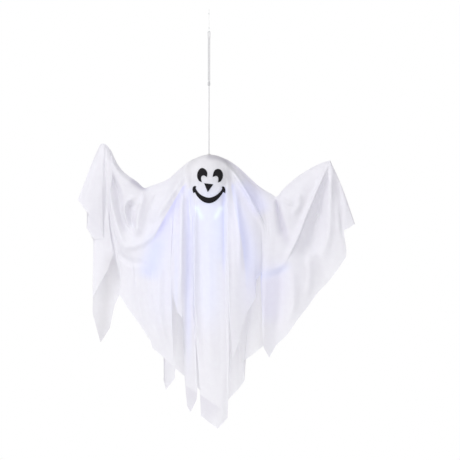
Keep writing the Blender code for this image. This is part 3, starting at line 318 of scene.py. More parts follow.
# Arm wire: 2.4 mm mild steel wire, drawn, cut, bent by hand and dipped in white enamel, which lets a little
# of the grey steel through in worn spots.
enamel = new_finish("white_enamelled_steel_wire", roughness=0.3, ior=1.5, coat_weight=0.3)
spots = noise(enamel, 2.5 * mm, Detail=6.0, Roughness=0.7)
worn = ranged(enamel, spots, 0.0, 0.8, start=0.66, end=0.72)
feed(enamel, base_color=blend(enamel, worn, "E3E2DE", "8E8E8C"), metallic=worn,
     normal=bump(enamel, spots, 0.3, 0.08 * mm))
finish_nodes(enamel, "arm_wire")

# Lamp: a moulded holder screwed under the collar, a small green board with two lamps on it, and a frosted
# cone in front of them that spreads their blue light into the sheet.
finish_nodes(white_abs, "lamp_holder")

# Glass-cloth laminate under green solder mask: the tracks show as slightly raised, lighter lines 1 mm wide
laminate = new_finish("green_circuit_board", roughness=0.32, ior=1.5)
track_pattern = {"offset": 0.5, "Scale": 1.0, "Mortar Size": 0.5 * mm, "Mortar Smooth": 0.2,
                 "Brick Width": 7 * mm, "Row Height": 3.2 * mm}
tracks = add_node(laminate, "ShaderNodeTexBrick", track_pattern, {0: on_piece(laminate)}).outputs["Fac"]
mask = blend(laminate, noise(laminate, 0.7 * mm), "14552C", "1B6B38")
feed(laminate, base_color=blend(laminate, tracks, mask, "3C8C50"),
     normal=bump(laminate, tracks, 0.5, 0.04 * mm))
finish_nodes(laminate, "lamp_board")

# Cast clear epoxy over a lit chip: bright blue-white, with the chip's uneven glow
epoxy = new_finish("lit_clear_epoxy", base_color=linear("DCE8FF"), roughness=0.08, ior=1.55,
                   emission_strength=3.0)
feed(epoxy, emission_color=blend(epoxy, noise(epoxy, 2 * mm), "5C78FF", "C8F0FF"))
finish_nodes(epoxy, "left_led", "right_led")

# Frosted polypropylene, lit blue by the lamps behind it; its glow is painted on, stronger in uneven patches
frosted = new_finish("lit_frosted_polypropylene", base_color=linear("D6DEF6"), roughness=0.55, ior=1.49,
                     subsurface_weight=0.4, subsurface_scale=3.0 * mm, emission_strength=0.9)
feed(frosted, emission_color=blend(frosted, noise(frosted, 8 * mm, Detail=3.0), "7C88FF", "B4CCFF"),
     normal=bump(frosted, noise(frosted, 0.4 * mm), 0.3, 0.05 * mm))
finish_nodes(frosted, "lamp_diffuser")

# Battery case: moulded box, cover and sliding door in the same white ABS as the collar, a black switch knob,
# nickel contacts, three steel button cells, zinc-plated screws and two PVC-covered leads up to the lamp.
finish_nodes(white_abs, "battery_case", "case_cover", "battery_door")
black_abs = moulded("moulded_black_abs", "222224", "171718", grain=0.4 * mm, roughness=0.48)
finish_nodes(black_abs, "switch_knob")


def plated(name, light, dark, streak, roughness):
    """Plated sheet or wire: the marks of rolling, drawing or turning show as fine streaks along one axis."""
    finish = new_finish(name, metallic=1.0)
    drawn = add_node(finish, "ShaderNodeMapping", {"Scale": streak}, {0: on_piece(finish)})
    marks = noise(finish, 1.0, drawn.outputs[0], Detail=4.0)
    feed(finish, base_color=blend(finish, marks, dark, light),
         roughness=ranged(finish, noise(finish, 3 * mm, Detail=3.0), roughness - 0.1, roughness + 0.15),
         normal=bump(finish, marks, 0.2, 0.02 * mm))
    return finish


fine = 1 / (0.15 * mm)
coarse = 1 / (4 * mm)
zinc = plated("zinc_plated_steel", "C3C5C8", "9EA0A4", (fine, fine, coarse), roughness=0.34)
finish_nodes(zinc, "door_screw", "collar_screw_1", "collar_screw_2", "collar_screw_3", "collar_screw_4")
cell_steel = plated("pressed_steel_cell", "CFD0D0", "B4B5B6", (coarse, fine, fine), roughness=0.28)
finish_nodes(cell_steel, "button_cell_1", "button_cell_2", "button_cell_3")
nickel = plated("nickel_plated_spring_steel", "CBC6B8", "A8A396", (fine, coarse, fine), roughness=0.26)
finish_nodes(nickel, "contact_plate", "contact_spring", "switch_body")

# Soft PVC over stranded copper: the strands' lay shows through as a faint slanting ripple
sleeve = new_finish("white_pvc_lead", roughness=0.38, ior=1.53)
strands = waves(sleeve, 1.4 * mm, "DIAGONAL")
feed(sleeve, base_color=blend(sleeve, strands, "D2D2CE", "E0E0DC"),
     normal=bump(sleeve, strands, 0.3, 0.05 * mm))
finish_nodes(sleeve, "lead_wire_1", "lead_wire_2")

# Sheet: one piece of thin white polyester voile with a ragged, rolled hem, laid over the ball and the wire.
# The fall of each fold is given by pixels of the photograph and by how far it stands from the cord's line.
sheet_width = 500 * mm
sheet_width_px = 277
pixel = sheet_width / sheet_width_px
cord_px = 209
crown_py = 154.5
crown_z = -259 * mm
middle_px = 230
view_distance = 4.5
view_x = (middle_px - cord_px) * pixel
view_z = crown_z - (middle_px - crown_py) * pixel
head_z = -305.3 * mm
head_half_px = 25.65
head_cloth_radius = 46.0 * mm
ridge = [
    (99.4, 145.8), (100.6, 144), (102.2, 143.3), (105, 143.9), (108, 146.4), (111, 150.4),
    (114, 156.8), (117, 163.2), (120, 168.8), (123, 172.2), (126, 174), (132, 177.9),
    (138, 182.4), (145, 188), (150, 186.2), (156, 184.2), (162, 182), (167.5, 180),
    (174, 174), (181, 167.8), (190, 160.8), (199, 156.6), (204, 155), (209, 154.5),
    (214, 154.9), (219, 156.2), (228, 159.8), (239, 167.6), (250, 178), (257, 184.6),
    (263, 189.2), (270.5, 193.4), (276, 196.6), (285, 187.2), (295, 178.4), (304, 172.4),
    (312.5, 166.8), (323, 162.3), (330.3, 160.4),
]
# Each fold: where it leaves the ridge, how far it lies from the middle of the head where the ball is
# widest (only for folds that start on the ball), and its points down to the hem, as pixel, pixel and
# millimetres
left_edge = (99.4, [(92.8, 160.6, 0), (86.6, 176.8, 0), (77.8, 199.6, 0)])
right_edge = (330.3, [(341, 184.6, -5), (355, 224, -7)])
front_folds = [
    left_edge,
    (101, [(96, 172, -8), (86.9, 211.5, -9)]),
    (103.2, [(101.8, 190, -10), (100.7, 227.3, -11.5)]),
    (104.2, [(103.4, 196, -8.8), (103.5, 238.8, -10)]),
    (104.8, [(102, 200, -7), (95.5, 222, -8), (93.6, 238.8, -8)]),
    (105.4, [(98, 195, -5), (88.2, 214, -6), (86, 226.7, -6)]),
    (106, [(100, 200, -4.5), (94.6, 228, -5), (93.4, 239.5, -5)]),
    (106.7, [(101, 200, -5), (95.6, 228, -4.5), (93.3, 262, -4), (92.5, 298, -3)]),
    (107.6, [(103, 205, -6.3), (98.5, 238, -6.5), (98.5, 265, -7), (97.5, 288, -6)]),
    (108.6, [(105.5, 205, -7), (105.5, 238, -8.5), (107.5, 270, -8)]),
    (109.6, [(107.6, 205, -7.6), (110.5, 236, -8.5), (113.8, 252.5, -8)]),
    (110.5, [(108.6, 205, -7), (110.8, 243.5, -6)]),
    (111.4, [(108.8, 205, -6.5), (105, 233, -3)]),
    (112.4, [(109.6, 205, -6.6), (109, 225, -4), (112, 246, -2)]),
    (113.6, [(110.4, 205, -7.5), (115, 238, -7), (121, 279, -5)]),
    (115.2, [(110.6, 205, -9), (114.2, 230, -11.5), (124.5, 262, -12), (118.8, 293.8, -8)]),
    (119, [(117, 206, -13), (123, 240, -15.5), (133, 268, -16), (127, 307, -13)]),
    (127, [(127, 215, -14), (135, 257, -21), (133, 315.6, -20)]),
    (137, [(137, 225, -17), (143, 275, -27), (140, 325, -24)]),
    (145, [(145, 231, -20), (148.5, 285, -32), (150.5, 341, -26)]),
    (150, [(150, 235, -24), (151.5, 290, -34), (152.5, 348.2, -26)]),
    (156, [(157, 232, -30), (158, 290, -36), (163.5, 357.5, -28)]),
    (163, [(164, 225, -34), (165, 285, -39), (168.5, 362, -30)]),
    (170, [(172, 215, -36), (170, 287, -41), (171.6, 322, -38), (173.8, 366, -33)]),
    (173, [(174, 215, -37), (170.9, 289, -41)]),
    (175.5, [(176.5, 215, -37.5), (175.3, 280, -41), (177.5, 312.5, -37)]),
    (178.5, [(180, 212, -38), (180, 280, -40), (183.3, 318.5, -36)]),
    (182, [(184.4, 215, -39), (184.6, 280, -38), (183.6, 330, -35), (184.4, 376, -32)]),
    (185, [(187.2, 212, -38), (187.4, 280, -34), (186.4, 340, -32), (187, 406, -30)]),
    (188, [(189.6, 215, -37), (189.6, 280, -33), (190, 340, -31), (190.5, 412.6, -30)]),
    (190.6, -18, [(191.6, 215, -38.5), (192, 280, -34), (194.5, 350, -30), (196.5, 400, -30)]),
    (191.6, -17, [(192.3, 215, -39.5), (192.5, 280, -34.5), (195.6, 345, -31), (197.5, 391, -31)]),
    (192.4, -16.4, [(192.8, 215, -40), (193.2, 314, -32)]),
    (193.2, -15.8, [(193.3, 215, -43), (192.9, 280, -37), (195.9, 330, -35), (197.5, 355, -35),
                    (200.6, 391, -34)]),
    (195, -14.4, [(194.8, 215, -44.5), (194.8, 280, -39), (199, 350, -37), (200.8, 415.5, -37)]),
    (202, -7.5, [(202, 215, -46), (203.5, 280, -42), (206, 350, -42), (209, 422.5, -40)]),
    (209, -0.5, [(209, 215, -47), (210, 290, -44), (213, 360, -44), (217.4, 428.8, -42)]),
    (216, 7, [(217, 215, -46), (219, 290, -46), (220.5, 360, -45), (222.5, 424, -41)]),
    (222, 13.5, [(223.2, 215, -43), (225.5, 290, -43), (227, 350, -43), (227.6, 417.5, -38)]),
    (224, 15.5, [(225, 215, -42), (226.6, 290, -46), (229, 345, -46), (229.4, 366, -42)]),
    (225.4, 16.5, [(225.8, 215, -42.5), (227.6, 290, -49), (229.3, 329, -47)]),
    (227, 18, [(229, 215, -42), (231, 290, -45), (231, 330, -43.5), (232.3, 358.8, -41)]),
    (230.5, [(233.5, 215, -43.5), (236, 290, -46), (237.5, 345, -41)]),
    (236, [(240, 215, -42.5), (242, 280, -44), (246.3, 314, -39)]),
    (242, [(248, 220, -37), (251, 270, -38), (255.6, 297.5, -35)]),
    (248, [(254, 222, -33), (256.5, 262, -33), (256, 281, -31)]),
    (255, [(260, 225, -28), (262, 255, -27), (261.3, 273, -25)]),
    (259, [(264, 228, -26), (262.5, 262, -25), (260.5, 283, -22), (262, 300, -20)]),
    (262, [(266.6, 230, -25), (264, 280, -24), (262.2, 330, -23)]),
    (264, [(268.4, 232, -25), (265.6, 285, -24), (263.6, 347.5, -23)]),
    (266.6, [(270.6, 235, -25), (268.6, 290, -22), (269.2, 357.6, -18)]),
    (271, [(275, 238, -24), (275, 290, -19.5), (276.2, 345.2, -15)]),
    (276, [(282, 240, -23), (283, 290, -20.5), (286.8, 335.4, -17)]),
    (283, [(289, 238, -20), (292, 288, -25), (298, 319, -20)]),
    (291, [(297, 232, -16), (302, 275, -22), (306.4, 308.6, -18)]),
    (300, [(305, 228, -10), (312, 262, -16), (318, 292.4, -15)]),
    (308, [(312, 222, -5), (320, 256, -10), (327, 283.2, -11)]),
    (316, [(319, 216, -6), (329, 250, -10), (337.2, 270.4, -10)]),
    (322, [(328, 212, -12.5), (337, 242, -12), (346, 257, -7)]),
    (326, [(334, 208, -13.5), (341.5, 236, -12), (346.6, 250.5, -7)]),
    (328, [(337, 203, -12), (343.8, 230.5, -10.5)]),
    (329.4, [(340, 195, -9), (349.5, 227.5, -9)]),
    right_edge,
]
back_folds = [
    left_edge,
    (101, [(93, 176, 6), (87, 212, 4)]),
    (103.4, [(95, 190, 8), (86.8, 225, 5)]),
    (105.5, [(98, 205, 12), (93.6, 239, 9)]),
    (107, [(99, 235, 8), (93, 300, 5)]),
    (108, [(98, 240, 9), (92.5, 313, 5)]),
    (109.3, [(103, 245, 12), (100.5, 342.7, 13)]),
    (111, [(108, 245, 16), (109.9, 328, 20)]),
    (113.3, [(114, 243, 17), (114.7, 305, 21)]),
    (117, [(120, 240, 15), (119.5, 295, 16)]),
    (126, [(131, 245, 16), (130, 308, 14)]),
    (135, [(139, 250, 21), (140, 321, 19)]),
    (145, [(149, 255, 25), (151, 340, 24)]),
    (152, [(156, 258, 28), (158, 350, 28)]),
    (156.5, [(160, 258, 30), (165, 356, 29)]),
    (159.5, [(162, 258, 31), (163.6, 380, 28)]),
    (164, [(167, 252, 34), (167, 310, 31), (166, 389.8, 31)]),
    (170, [(174, 240, 36), (174.5, 310, 34), (175, 378, 32)]),
    (175, [(180, 222, 37), (178, 310, 34), (175.5, 368.6, 32)]),
    (181, [(186, 218, 38), (185, 310, 38), (184.4, 376, 34)]),
    (190.6, -17, [(192, 215, 40), (190, 300, 42), (192, 381, 36)]),
    (196, -12, [(198, 215, 43), (198, 300, 40), (200.6, 391, 36)]),
    (203, -6, [(204, 215, 45), (206, 300, 41), (207, 399, 38)]),
    (209, 0, [(209, 215, 46), (212, 300, 45), (213, 404, 42)]),
    (215, 6, [(216, 215, 45), (219, 300, 41), (220, 408.8, 38)]),
    (222, 13, [(223, 215, 42), (227, 300, 43), (226, 402, 37)]),
    (230.5, [(231, 215, 38), (235, 300, 41), (229, 398.8, 38)]),
    (238, [(239, 222, 37), (243, 300, 38), (238, 389.5, 34)]),
    (246, [(246, 228, 34), (249, 300, 34), (244.8, 380.5, 32)]),
    (252, [(252, 232, 31), (250, 300, 30), (243, 361.6, 29)]),
    (258, [(258, 240, 28), (256, 300, 26), (254, 353.5, 25)]),
    (265, [(265, 248, 24), (263, 300, 22), (262.8, 346.3, 20)]),
    (276, [(279, 250, 24), (282, 329, 19)]),
    (285, [(290, 240, 22), (296, 308, 18)]),
    (297, [(302, 235, 13), (310, 288, 15)]),
    (308, [(313, 225, 10), (323, 272, 12)]),
    (319, [(326, 212, 12), (340, 252, 8)]),
    (323, [(331, 206, 9), (343, 231, 6)]),
    (327, [(337, 200, 5), (349, 227.6, 4)]),
    right_edge,
]
row_count = 168


def from_photo(px, py, depth):
    """The place that a pixel shows at a depth in metres, behind (+) or before (-) the cord's line."""
    near = (view_distance + depth) / view_distance
    return Vector((view_x + (px - middle_px) * pixel * near, depth, view_z - (py - middle_px) * pixel * near))


def fold_line(fold, side, drop=3.5 * mm, half=4.5 * mm):
    """Evenly spaced points down one fold; side is -1 before the cord's line and 1 behind it. Off the ball,
    the sheet lies over the wire with this drop and half depth."""
    top, *on_ball, controls = fold
    falls = [from_photo(px, py, depth * mm) for px, py, depth in controls]
    ridge_py = np.interp(top, [px for px, _ in ridge], [py for _, py in ridge])
    start = from_photo(top, ridge_py, 0.0)
    if on_ball:
        start_x = (top - cord_px) / head_half_px * head_cloth_radius
        widest_x = on_ball[0] / head_half_px * head_cloth_radius
        begin = []
        for row in range(6):
            turn = row / 5 * math.pi / 2
            x = start_x + (widest_x - start_x) * math.sin(turn)
            slice_radius = math.sqrt(head_cloth_radius**2 - x**2)
            out = side * slice_radius * math.sin(turn)
            begin.append(Vector((x, out, head_z + slice_radius * math.cos(turn))))
        # The sheet leaves the ball before its sides, on the line of the ridge
        begin[0].z = max(begin[0].z, start.z)
    else:
        out = half if ridge[0][0] < top < ridge[-1][0] else 0.0
        lean = (falls[0].x - start.x) * drop / (start.z - falls[0].z)
        begin = [start, start + Vector((lean, side * out, -drop))]
    return smooth_route(begin + falls, row_count + 1)


def between(knots, values, wanted):
    """Values on smooth curves through those at the knots, which never swing past them."""
    steps = np.diff(knots)[:, None]
    slopes = np.diff(values, axis=0) / steps
    before, after = slopes[:-1], slopes[1:]
    both = before * after > 0
    tangents = np.zeros_like(values)
    tangents[1:-1][both] = (2 * before * after)[both] / (before + after)[both]
    tangents[0], tangents[-1] = slopes[0], slopes[-1]
    at = np.clip(np.searchsorted(knots, wanted, side="right") - 1, 0, len(knots) - 2)
    gap = steps[at]
    t = (wanted - knots[at])[:, None] / gap
    return ((1 + 2 * t) * (1 - t)**2 * values[at] + t * (1 - t)**2 * gap * tangents[at]
            + t * t * (3 - 2 * t) * values[at + 1] + t * t * (t - 1) * gap * tangents[at + 1])


def side_of_sheet(folds, side, wanted, hem_share=0.2):
    """The places of one side of the sheet, column by column, with straight runs of hem between its corners,
    and which falls the columns lie on."""
    knots = np.array([fold[0] for fold in folds])
    lines = np.array([[tuple(place) for place in fold_line(fold, side)] for fold in folds])
    flat = lines.reshape(len(folds), -1)
    soft = between(knots, flat, wanted).reshape(len(wanted), row_count + 1, 3)
    straight = np.stack([np.interp(wanted, knots, flat[:, i]) for i in range(flat.shape[1])], 1)
    straight = straight.reshape(soft.shape)
    hem = np.clip((np.linspace(0, 1, row_count + 1) - (1 - hem_share)) / hem_share, 0, 1)[None, :, None] ** 2
    return soft * (1 - hem) + straight * hem, np.interp(wanted, knots, range(len(knots)))


# Columns of the sheet's grid lie about this many pixels apart
column_px = 1.15
most_columns = 11
wanted = []
for fold, next_fold in zip(front_folds, front_folds[1:]):
    points, next_points = fold[-1], next_fold[-1]
    at_hem = math.dist(points[-1][:2], next_points[-1][:2]) * 0.5
    above = max(abs(a[0] - b[0]) for a, b in zip(points, next_points))
    count = min(max(round(max(at_hem, above, 1.5) / column_px), 2), most_columns)
    wanted += [fold[0] + (next_fold[0] - fold[0]) * step / count for step in range(count)]
wanted = np.array(wanted + [front_folds[-1][0]])
front, front_station = side_of_sheet(front_folds, -1, wanted)
back, _ = side_of_sheet(back_folds, 1, wanted)


def pixels_of(places):
    """The photograph's pixels of some places."""
    near = (view_distance + places[..., 1]) / view_distance
    return (middle_px + (places[..., 0] - view_x) / (pixel * near),
            middle_px - (places[..., 2] - view_z) / (pixel * near))


def along_stroke(px, py, line):
    """How far each pixel lies from a line of pixels, on which side of it, and how far along it."""
    nearest = np.full(px.shape, 1e9)
    side = np.zeros(px.shape)
    share = np.zeros(px.shape)
    lengths = [math.dist(a, b) for a, b in zip(line, line[1:])]
    reached = 0.0
    for (ax, ay), (bx, by), length in zip(line, line[1:], lengths):
        dx, dy = (bx - ax) / length, (by - ay) / length
        on = np.clip((px - ax) * dx + (py - ay) * dy, 0, length)
        off = np.hypot(px - ax - on * dx, py - ay - on * dy)
        closer = off < nearest
        nearest = np.where(closer, off, nearest)
        side = np.where(closer, np.sign(dx * (py - ay) - dy * (px - ax)), side)
        share = np.where(closer, (reached + on) / sum(lengths), share)
        reached += length
    return nearest, side, share


def curved(line, count=24):
    """A smooth line of pixels through the given ones."""
    if len(line) == 2:
        return line
    return [(point.x, point.y) for point in smooth_route([Vector((x, y, 0.0)) for x, y in line], count)]


def stroke_height(px, py, line, widths, sharp=0, fade=(0.2, 0.25), step_px=1.2):
    """A soft ridge along a line, 1 on it, whose half width goes from the first value to the second. sharp
    makes one side of it a step of step_px; it fades in and out over these shares of its ends."""
    nearest, side, share = along_stroke(px, py, curved(line))
    half = widths[0] + (widths[1] - widths[0]) * share
    half = np.where(side == sharp, step_px, half) if sharp else half
    height = np.exp(-(nearest / (0.6 * half)) ** 2)
    rise = np.clip(share / fade[0], 0, 1) if fade[0] else 1.0
    ends = rise * np.clip((1 - share) / fade[1], 0, 1)
    return height * ends * ends * (3 - 2 * ends)


# Folds that run across the falls: line, half widths in pixels at its start and end, height in millimetres
# towards the viewer, the side that is a sharp step (1 left, -1 right of the line on its way down), and, for
# those that stay on a few of the falls, the first and last of these
fold_strokes = [
    # drape between the left hand and the head
    ([(106, 146), (115, 164), (126, 179), (140, 189)], (4, 7), 6, 0, (13, 21)),
    ([(109, 170), (113.5, 181), (118, 193), (120, 210), (127, 228), (134, 239)], (5, 7), -13, 0, (15, 23)),
    ([(107.5, 172), (111.5, 204), (120, 234), (128, 256)], (2.5, 4), 4, 0, (14, 20)),
    ([(138, 197), (129, 200), (124, 208), (126, 220), (132, 232)], (2.4, 3), 7, 0, (14, 22)),
    ([(134, 201), (130, 208), (131, 218), (134, 230)], (5, 5), -12, 0, (14, 22)),
    ([(145, 188), (139.5, 205), (136, 222), (134.5, 240)], (8, 12), 10, 1),
    ([(158, 190), (152, 205), (148, 218), (146, 230)], (3, 4), -3, 0),
    ([(187, 169), (178, 184), (167, 201), (152, 226)], (5, 7), 9, 0),
    ([(166, 212), (158, 227), (149, 238), (134, 246), (116, 247)], (4, 6), 6, 0, (14, 28)),
    ([(185, 187), (178, 202), (173, 213), (166, 228), (157, 248)], (4, 9), -5, 0, (14, 28)),
    ([(114, 250), (130, 262), (148, 262)], (4, 6), -4, 0, (14, 27)),
    # left hand
    ([(104.0, 154), (106, 180), (106, 222)], (3, 4), -4, 0, (2, 13)),
    ([(97, 160), (88, 186), (84, 204)], (3, 7), 3, 0, (0, 3)),
    # falls before and beside the head
    ([(181, 176), (181.5, 200), (181.5, 250), (180, 310)], (5, 5), 8, 0),
    ([(189.0, 186), (189.0, 230), (188.6, 310)], (4, 4), -1.5, 0),
    ([(195, 190), (194.8, 240), (194.4, 300), (199, 360)], (3, 4), 5, 1),
    ([(223.4, 186), (223.6, 220), (224.2, 270)], (3, 3), -1.5, 0),
    ([(227.4, 164), (227.4, 215), (228.6, 280), (231.6, 345)], (6, 10), 4, 1),
    ([(235, 184), (239, 225), (241, 275)], (4, 5), 4, 0),
    ([(235, 186), (241, 212), (247, 240), (250, 275)], (5, 9), -3, 0),
    ([(219.6, 159), (233, 171), (245, 188), (256, 208), (265, 226)], (5, 6), 12, -1),
    ([(228, 162), (244, 173), (255, 190), (262, 210)], (6, 11), -6, 0, (36, 52)),
    # right wing
    ([(275.8, 198), (279.5, 215), (285, 240)], (2.2, 9), -11, 0),
    ([(276, 197.4), (284, 202.4), (293.5, 206.4)], (5, 4), 4, 1),
    ([(298, 193), (299, 205), (291, 215)], (4.5, 6), 3.5, 0),
    ([(330, 162), (318, 189), (307, 215), (295, 245), (284, 265)], (4, 8), 10, -1),
    ([(292, 256), (283, 265), (263, 271)], (4, 6), 1.5, 0),
    ([(329.5, 167), (322, 195), (317, 222), (309, 247), (297, 265)], (4, 13), -11, 0),
    ([(263, 278), (276, 275), (291, 268)], (5, 6), -1.5, 0, (45, 54)),
    ([(331, 166), (330, 200), (328, 235), (322, 262)], (4, 8), 6, 0),
    ([(335, 172), (339.5, 195), (342, 220), (342, 245)], (2.5, 4), -2, 0),
    ([(332, 163), (342, 190), (348, 215)], (2, 4), 4, 0),
    # lower falls
    ([(183.6, 316), (182.8, 334), (184.2, 354)], (1.8, 1.8), 3, 0),
    ([(209, 235), (210, 300), (212, 380)], (5, 6), 2.5, 0),
    ([(200, 240), (202, 300), (205, 380)], (4, 4), -3, 0),
    ([(219, 240), (220, 300), (221, 400)], (4, 4), -1.5, 0),
    ([(160, 262), (160, 310), (167, 350)], (5, 5), 4, 0),
    ([(147, 262), (150, 300), (156, 340)], (5, 5), -4, 0),
    ([(136, 275), (140, 305), (146, 330)], (4, 5), 3, 0),
    ([(280, 262), (280, 300), (277, 335)], (7, 6), -3, 0),
    ([(292, 268), (294, 300), (289, 325)], (5, 6), 2.5, 0),
    ([(308, 250), (310, 275), (307, 300)], (5, 6), 2.5, 0),
]
px, py = pixels_of(front)
# The strokes begin a little below the ridge
fade_in = np.clip(np.linspace(0, 1, row_count + 1) / 0.05, 0, 1)[None, :]
rise = np.zeros(px.shape)
for line, widths, height, sharp, *on_falls in fold_strokes:
    part = stroke_height(px, py, line, widths, sharp) * height
    for first, last in on_falls:
        part = part * ((front_station >= first) & (front_station <= last))[:, None]
    rise += part
front[..., 1] -= rise * fade_in * mm
# The photograph doesn't show the back. It hangs in the same way: swags between the hands and the head, and
# falls below them. Line, half widths at its ends and height away from the cord's line
back_strokes = [
    ([(107, 156), (116, 192), (136, 222), (160, 212), (188, 178)], (3, 6), 9),
    ([(110, 160), (121, 188), (138, 206), (160, 197), (184, 174)], (3, 5), -9),
    ([(107, 185), (117, 232), (142, 258), (170, 244), (192, 205)], (4, 8), 9),
    ([(108, 172), (117, 212), (140, 240), (166, 228), (190, 192)], (4, 7), -8),
    ([(328, 166), (308, 206), (284, 226), (258, 214), (233, 178)], (4, 6), 9),
    ([(324, 166), (304, 192), (284, 208), (262, 198), (238, 174)], (4, 5), -9),
    ([(334, 200), (314, 244), (284, 262), (252, 246), (228, 206)], (5, 8), 9),
    ([(330, 186), (310, 226), (284, 246), (256, 230), (231, 194)], (4, 7), -8),
    ([(125, 262), (128, 305)], (5, 6), -8), ([(136, 268), (139, 315)], (5, 6), 9),
    ([(149, 262), (152, 340)], (5, 6), -9), ([(160, 255), (163, 370)], (4, 6), 11),
    ([(172, 246), (173, 315)], (4, 5), -6), ([(183, 222), (183, 315)], (4, 5), 7),
    ([(194, 205), (194, 385)], (4, 5), -11), ([(204, 205), (207, 400)], (4, 6), 10),
    ([(214, 205), (218, 405)], (4, 5), -10), ([(225, 210), (230, 400)], (4, 6), 7),
    ([(236, 225), (240, 390)], (4, 5), -5), ([(247, 250), (249, 370)], (4, 6), 4),
    ([(259, 262), (258, 350)], (4, 6), -3), ([(272, 268), (270, 340)], (5, 7), 9),
    ([(287, 268), (286, 322)], (5, 6), -8), ([(301, 262), (299, 300)], (5, 6), 8),
    ([(318, 248), (315, 282)], (5, 6), -6), ([(331, 215), (331, 258)], (4, 6), 6),
]
back_px, back_py = pixels_of(back)
for line, widths, height in back_strokes:
    back[..., 1] += stroke_height(back_px, back_py, line, widths) * height * fade_in * mm


def off_the_ball(places, side, below_share=0.9, soft_step=6 * mm):
    """The places of one side of the sheet, with those inside the ball moved out to its surface. Below the
    ball's middle the sheet may come a little nearer; the step is soft."""
    across = places[..., 0] ** 2 + (places[..., 2] - head_z) ** 2
    over = np.sqrt(np.clip(head_cloth_radius**2 - across, 0, None))
    reach = np.where(places[..., 2] < head_z, over * below_share, over)
    own = side * places[..., 1]
    ease = soft_step * fade_in
    places[..., 1] = side * (own + reach + np.sqrt((own - reach) ** 2 + ease**2)) / 2 * (reach > 0)
    places[..., 1] += side * own * (reach <= 0)
    return places


def relaxed(places, times):
    """The places after some rounds in which each moves towards the middle of its neighbours."""
    for _ in range(times):
        inner = places[1:-1, 1:-1]
        around = (places[:-2, 1:-1] + places[2:, 1:-1] + places[1:-1, :-2] + places[1:-1, 2:]) / 4
        places[1:-1, 1:-1] = inner * 0.5 + around * 0.5
    return places


front = relaxed(off_the_ball(front, -1), 3)
back = relaxed(off_the_ball(back, 1), 3)

# The front's columns and then the back's, so that the two edges meet where they fold over
around = np.concatenate([front, back[::-1][1:]])
last_column = len(around) - 1
grid = bmesh.new()
bmesh.ops.create_grid(grid, x_segments=last_column, y_segments=row_count, size=1.0, calc_uvs=True)
hem_layer = grid.verts.layers.float.new("rolled_hem")
for corner in grid.verts:
    column = round((corner.co.x + 1) / 2 * last_column)
    row = round((1 - corner.co.y) / 2 * row_count)
    corner.co = around[column, row]
    corner[hem_layer] = float(row == row_count)
bmesh.ops.remove_doubles(grid, verts=grid.verts, dist=0.01 * mm)
bmesh.ops.recalc_face_normals(grid, faces=grid.faces)
nearest_face = min(grid.faces, key=lambda face: face.calc_center_median().y)
if nearest_face.normal.y > 0:
    bmesh.ops.reverse_faces(grid, faces=grid.faces)


def add_piece(name, shape, finish, smooth=True):
    """An object from a bmesh."""
    data = bpy.data.meshes.new(name)
    shape.to_mesh(data)
    shape.free()
    if smooth:
        data.shade_smooth()
    data.materials.append(finish)
    return new_object(name, data)


# The lamp's light through the cloth, painted into the sheet's colour and glow: line, half widths, sharp side,
# strength,
# # and the colour that cloth of the unlit colour takes there. What is bluer than the cloth is painted glow,
# and the rest of
# # its own colour sinks as painted shade
lamp_strokes = [
    ([(168, 235), (166, 340)], (34, 34), 0, 0.6, "EEEEFD"),
    ([(209, 200), (209, 250), (210, 350)], (26, 20), 0, 0.9, "ECEEFF"),
    ([(272, 280), (266, 330)], (26, 18), 0, 0.7, "E4E2F4"),
    ([(240, 215), (250, 262), (250, 330)], (20, 22), 0, 0.5, "ECECFE"),
    ([(183, 187), (173, 204), (165, 218), (158, 231), (147, 252)], (5, 27), 1, 0.95, "DEDEFF"),
    ([(156, 246), (147, 284)], (15, 17), 0, 0.9, "DDE1FF"),
    ([(189.0, 193), (188.8, 250), (188, 390)], (7.0, 6), 0, 0.95, "E9EAFF"),
    ([(176.5, 235), (176, 320)], (3.4, 3.4), 0, 0.6, "E8EAFF"),
    ([(224.0, 190), (223.6, 225), (224, 285)], (4.6, 3), 0, 0.95, "E2E4FF"),
    ([(218, 215), (220, 270)], (9, 7), 0, 0.6, "E6EAFF"),
    ([(232, 187), (236, 212), (242, 240), (248, 300)], (6, 28), 1, 0.95, "E4E6FF"),
    ([(247, 189), (255, 199), (266, 218)], (16, 14), 0, 0.8, "E3E3FB"),
    ([(261, 276), (275, 272), (294, 262)], (8, 7), 0, 0.9, "E5E7FC"),
    ([(197.0, 208), (203.4, 221.5)], (3.8, 3.8), 0, 0.9, "F4FFFF"),
    ([(220.6, 208.5), (213.4, 221)], (4.4, 3.8), 0, 0.95, "F8FFFF"),
]
# Painted shade: darker where a single layer hangs, from which less of the light comes back, in narrow folds
# that lie in
# # their own shadow, and on the sides beside the crown and the right swag that face away from the light
painted_shade_strokes = [
    ([(200, 395), (211, 402.5), (224, 412)], (40, 44), -1, 1.0, "E1DFE7"),
    ([(111, 262), (107, 295), (98, 372)], (11, 11), 0, 0.7, "DDDBE0"),
    ([(210, 156.5), (217, 157.5), (225, 160.5), (236, 168)], (5, 4), 0, 0.8, "C9C6D0"),
    ([(133, 181), (141, 187), (150, 191)], (5, 4), 0, 0.8, "CCC9D6"),
    ([(276, 200), (281, 219), (289, 252)], (1.5, 9), 0, 0.6, "D2CFDC"),
    ([(236, 166), (250, 180), (268, 198)], (7, 7), 0, 0.5, "D4D1DE"),
    ([(272, 285), (272, 310), (272, 370)], (17, 17), 0, 0.2, "DEDCE8"),
]
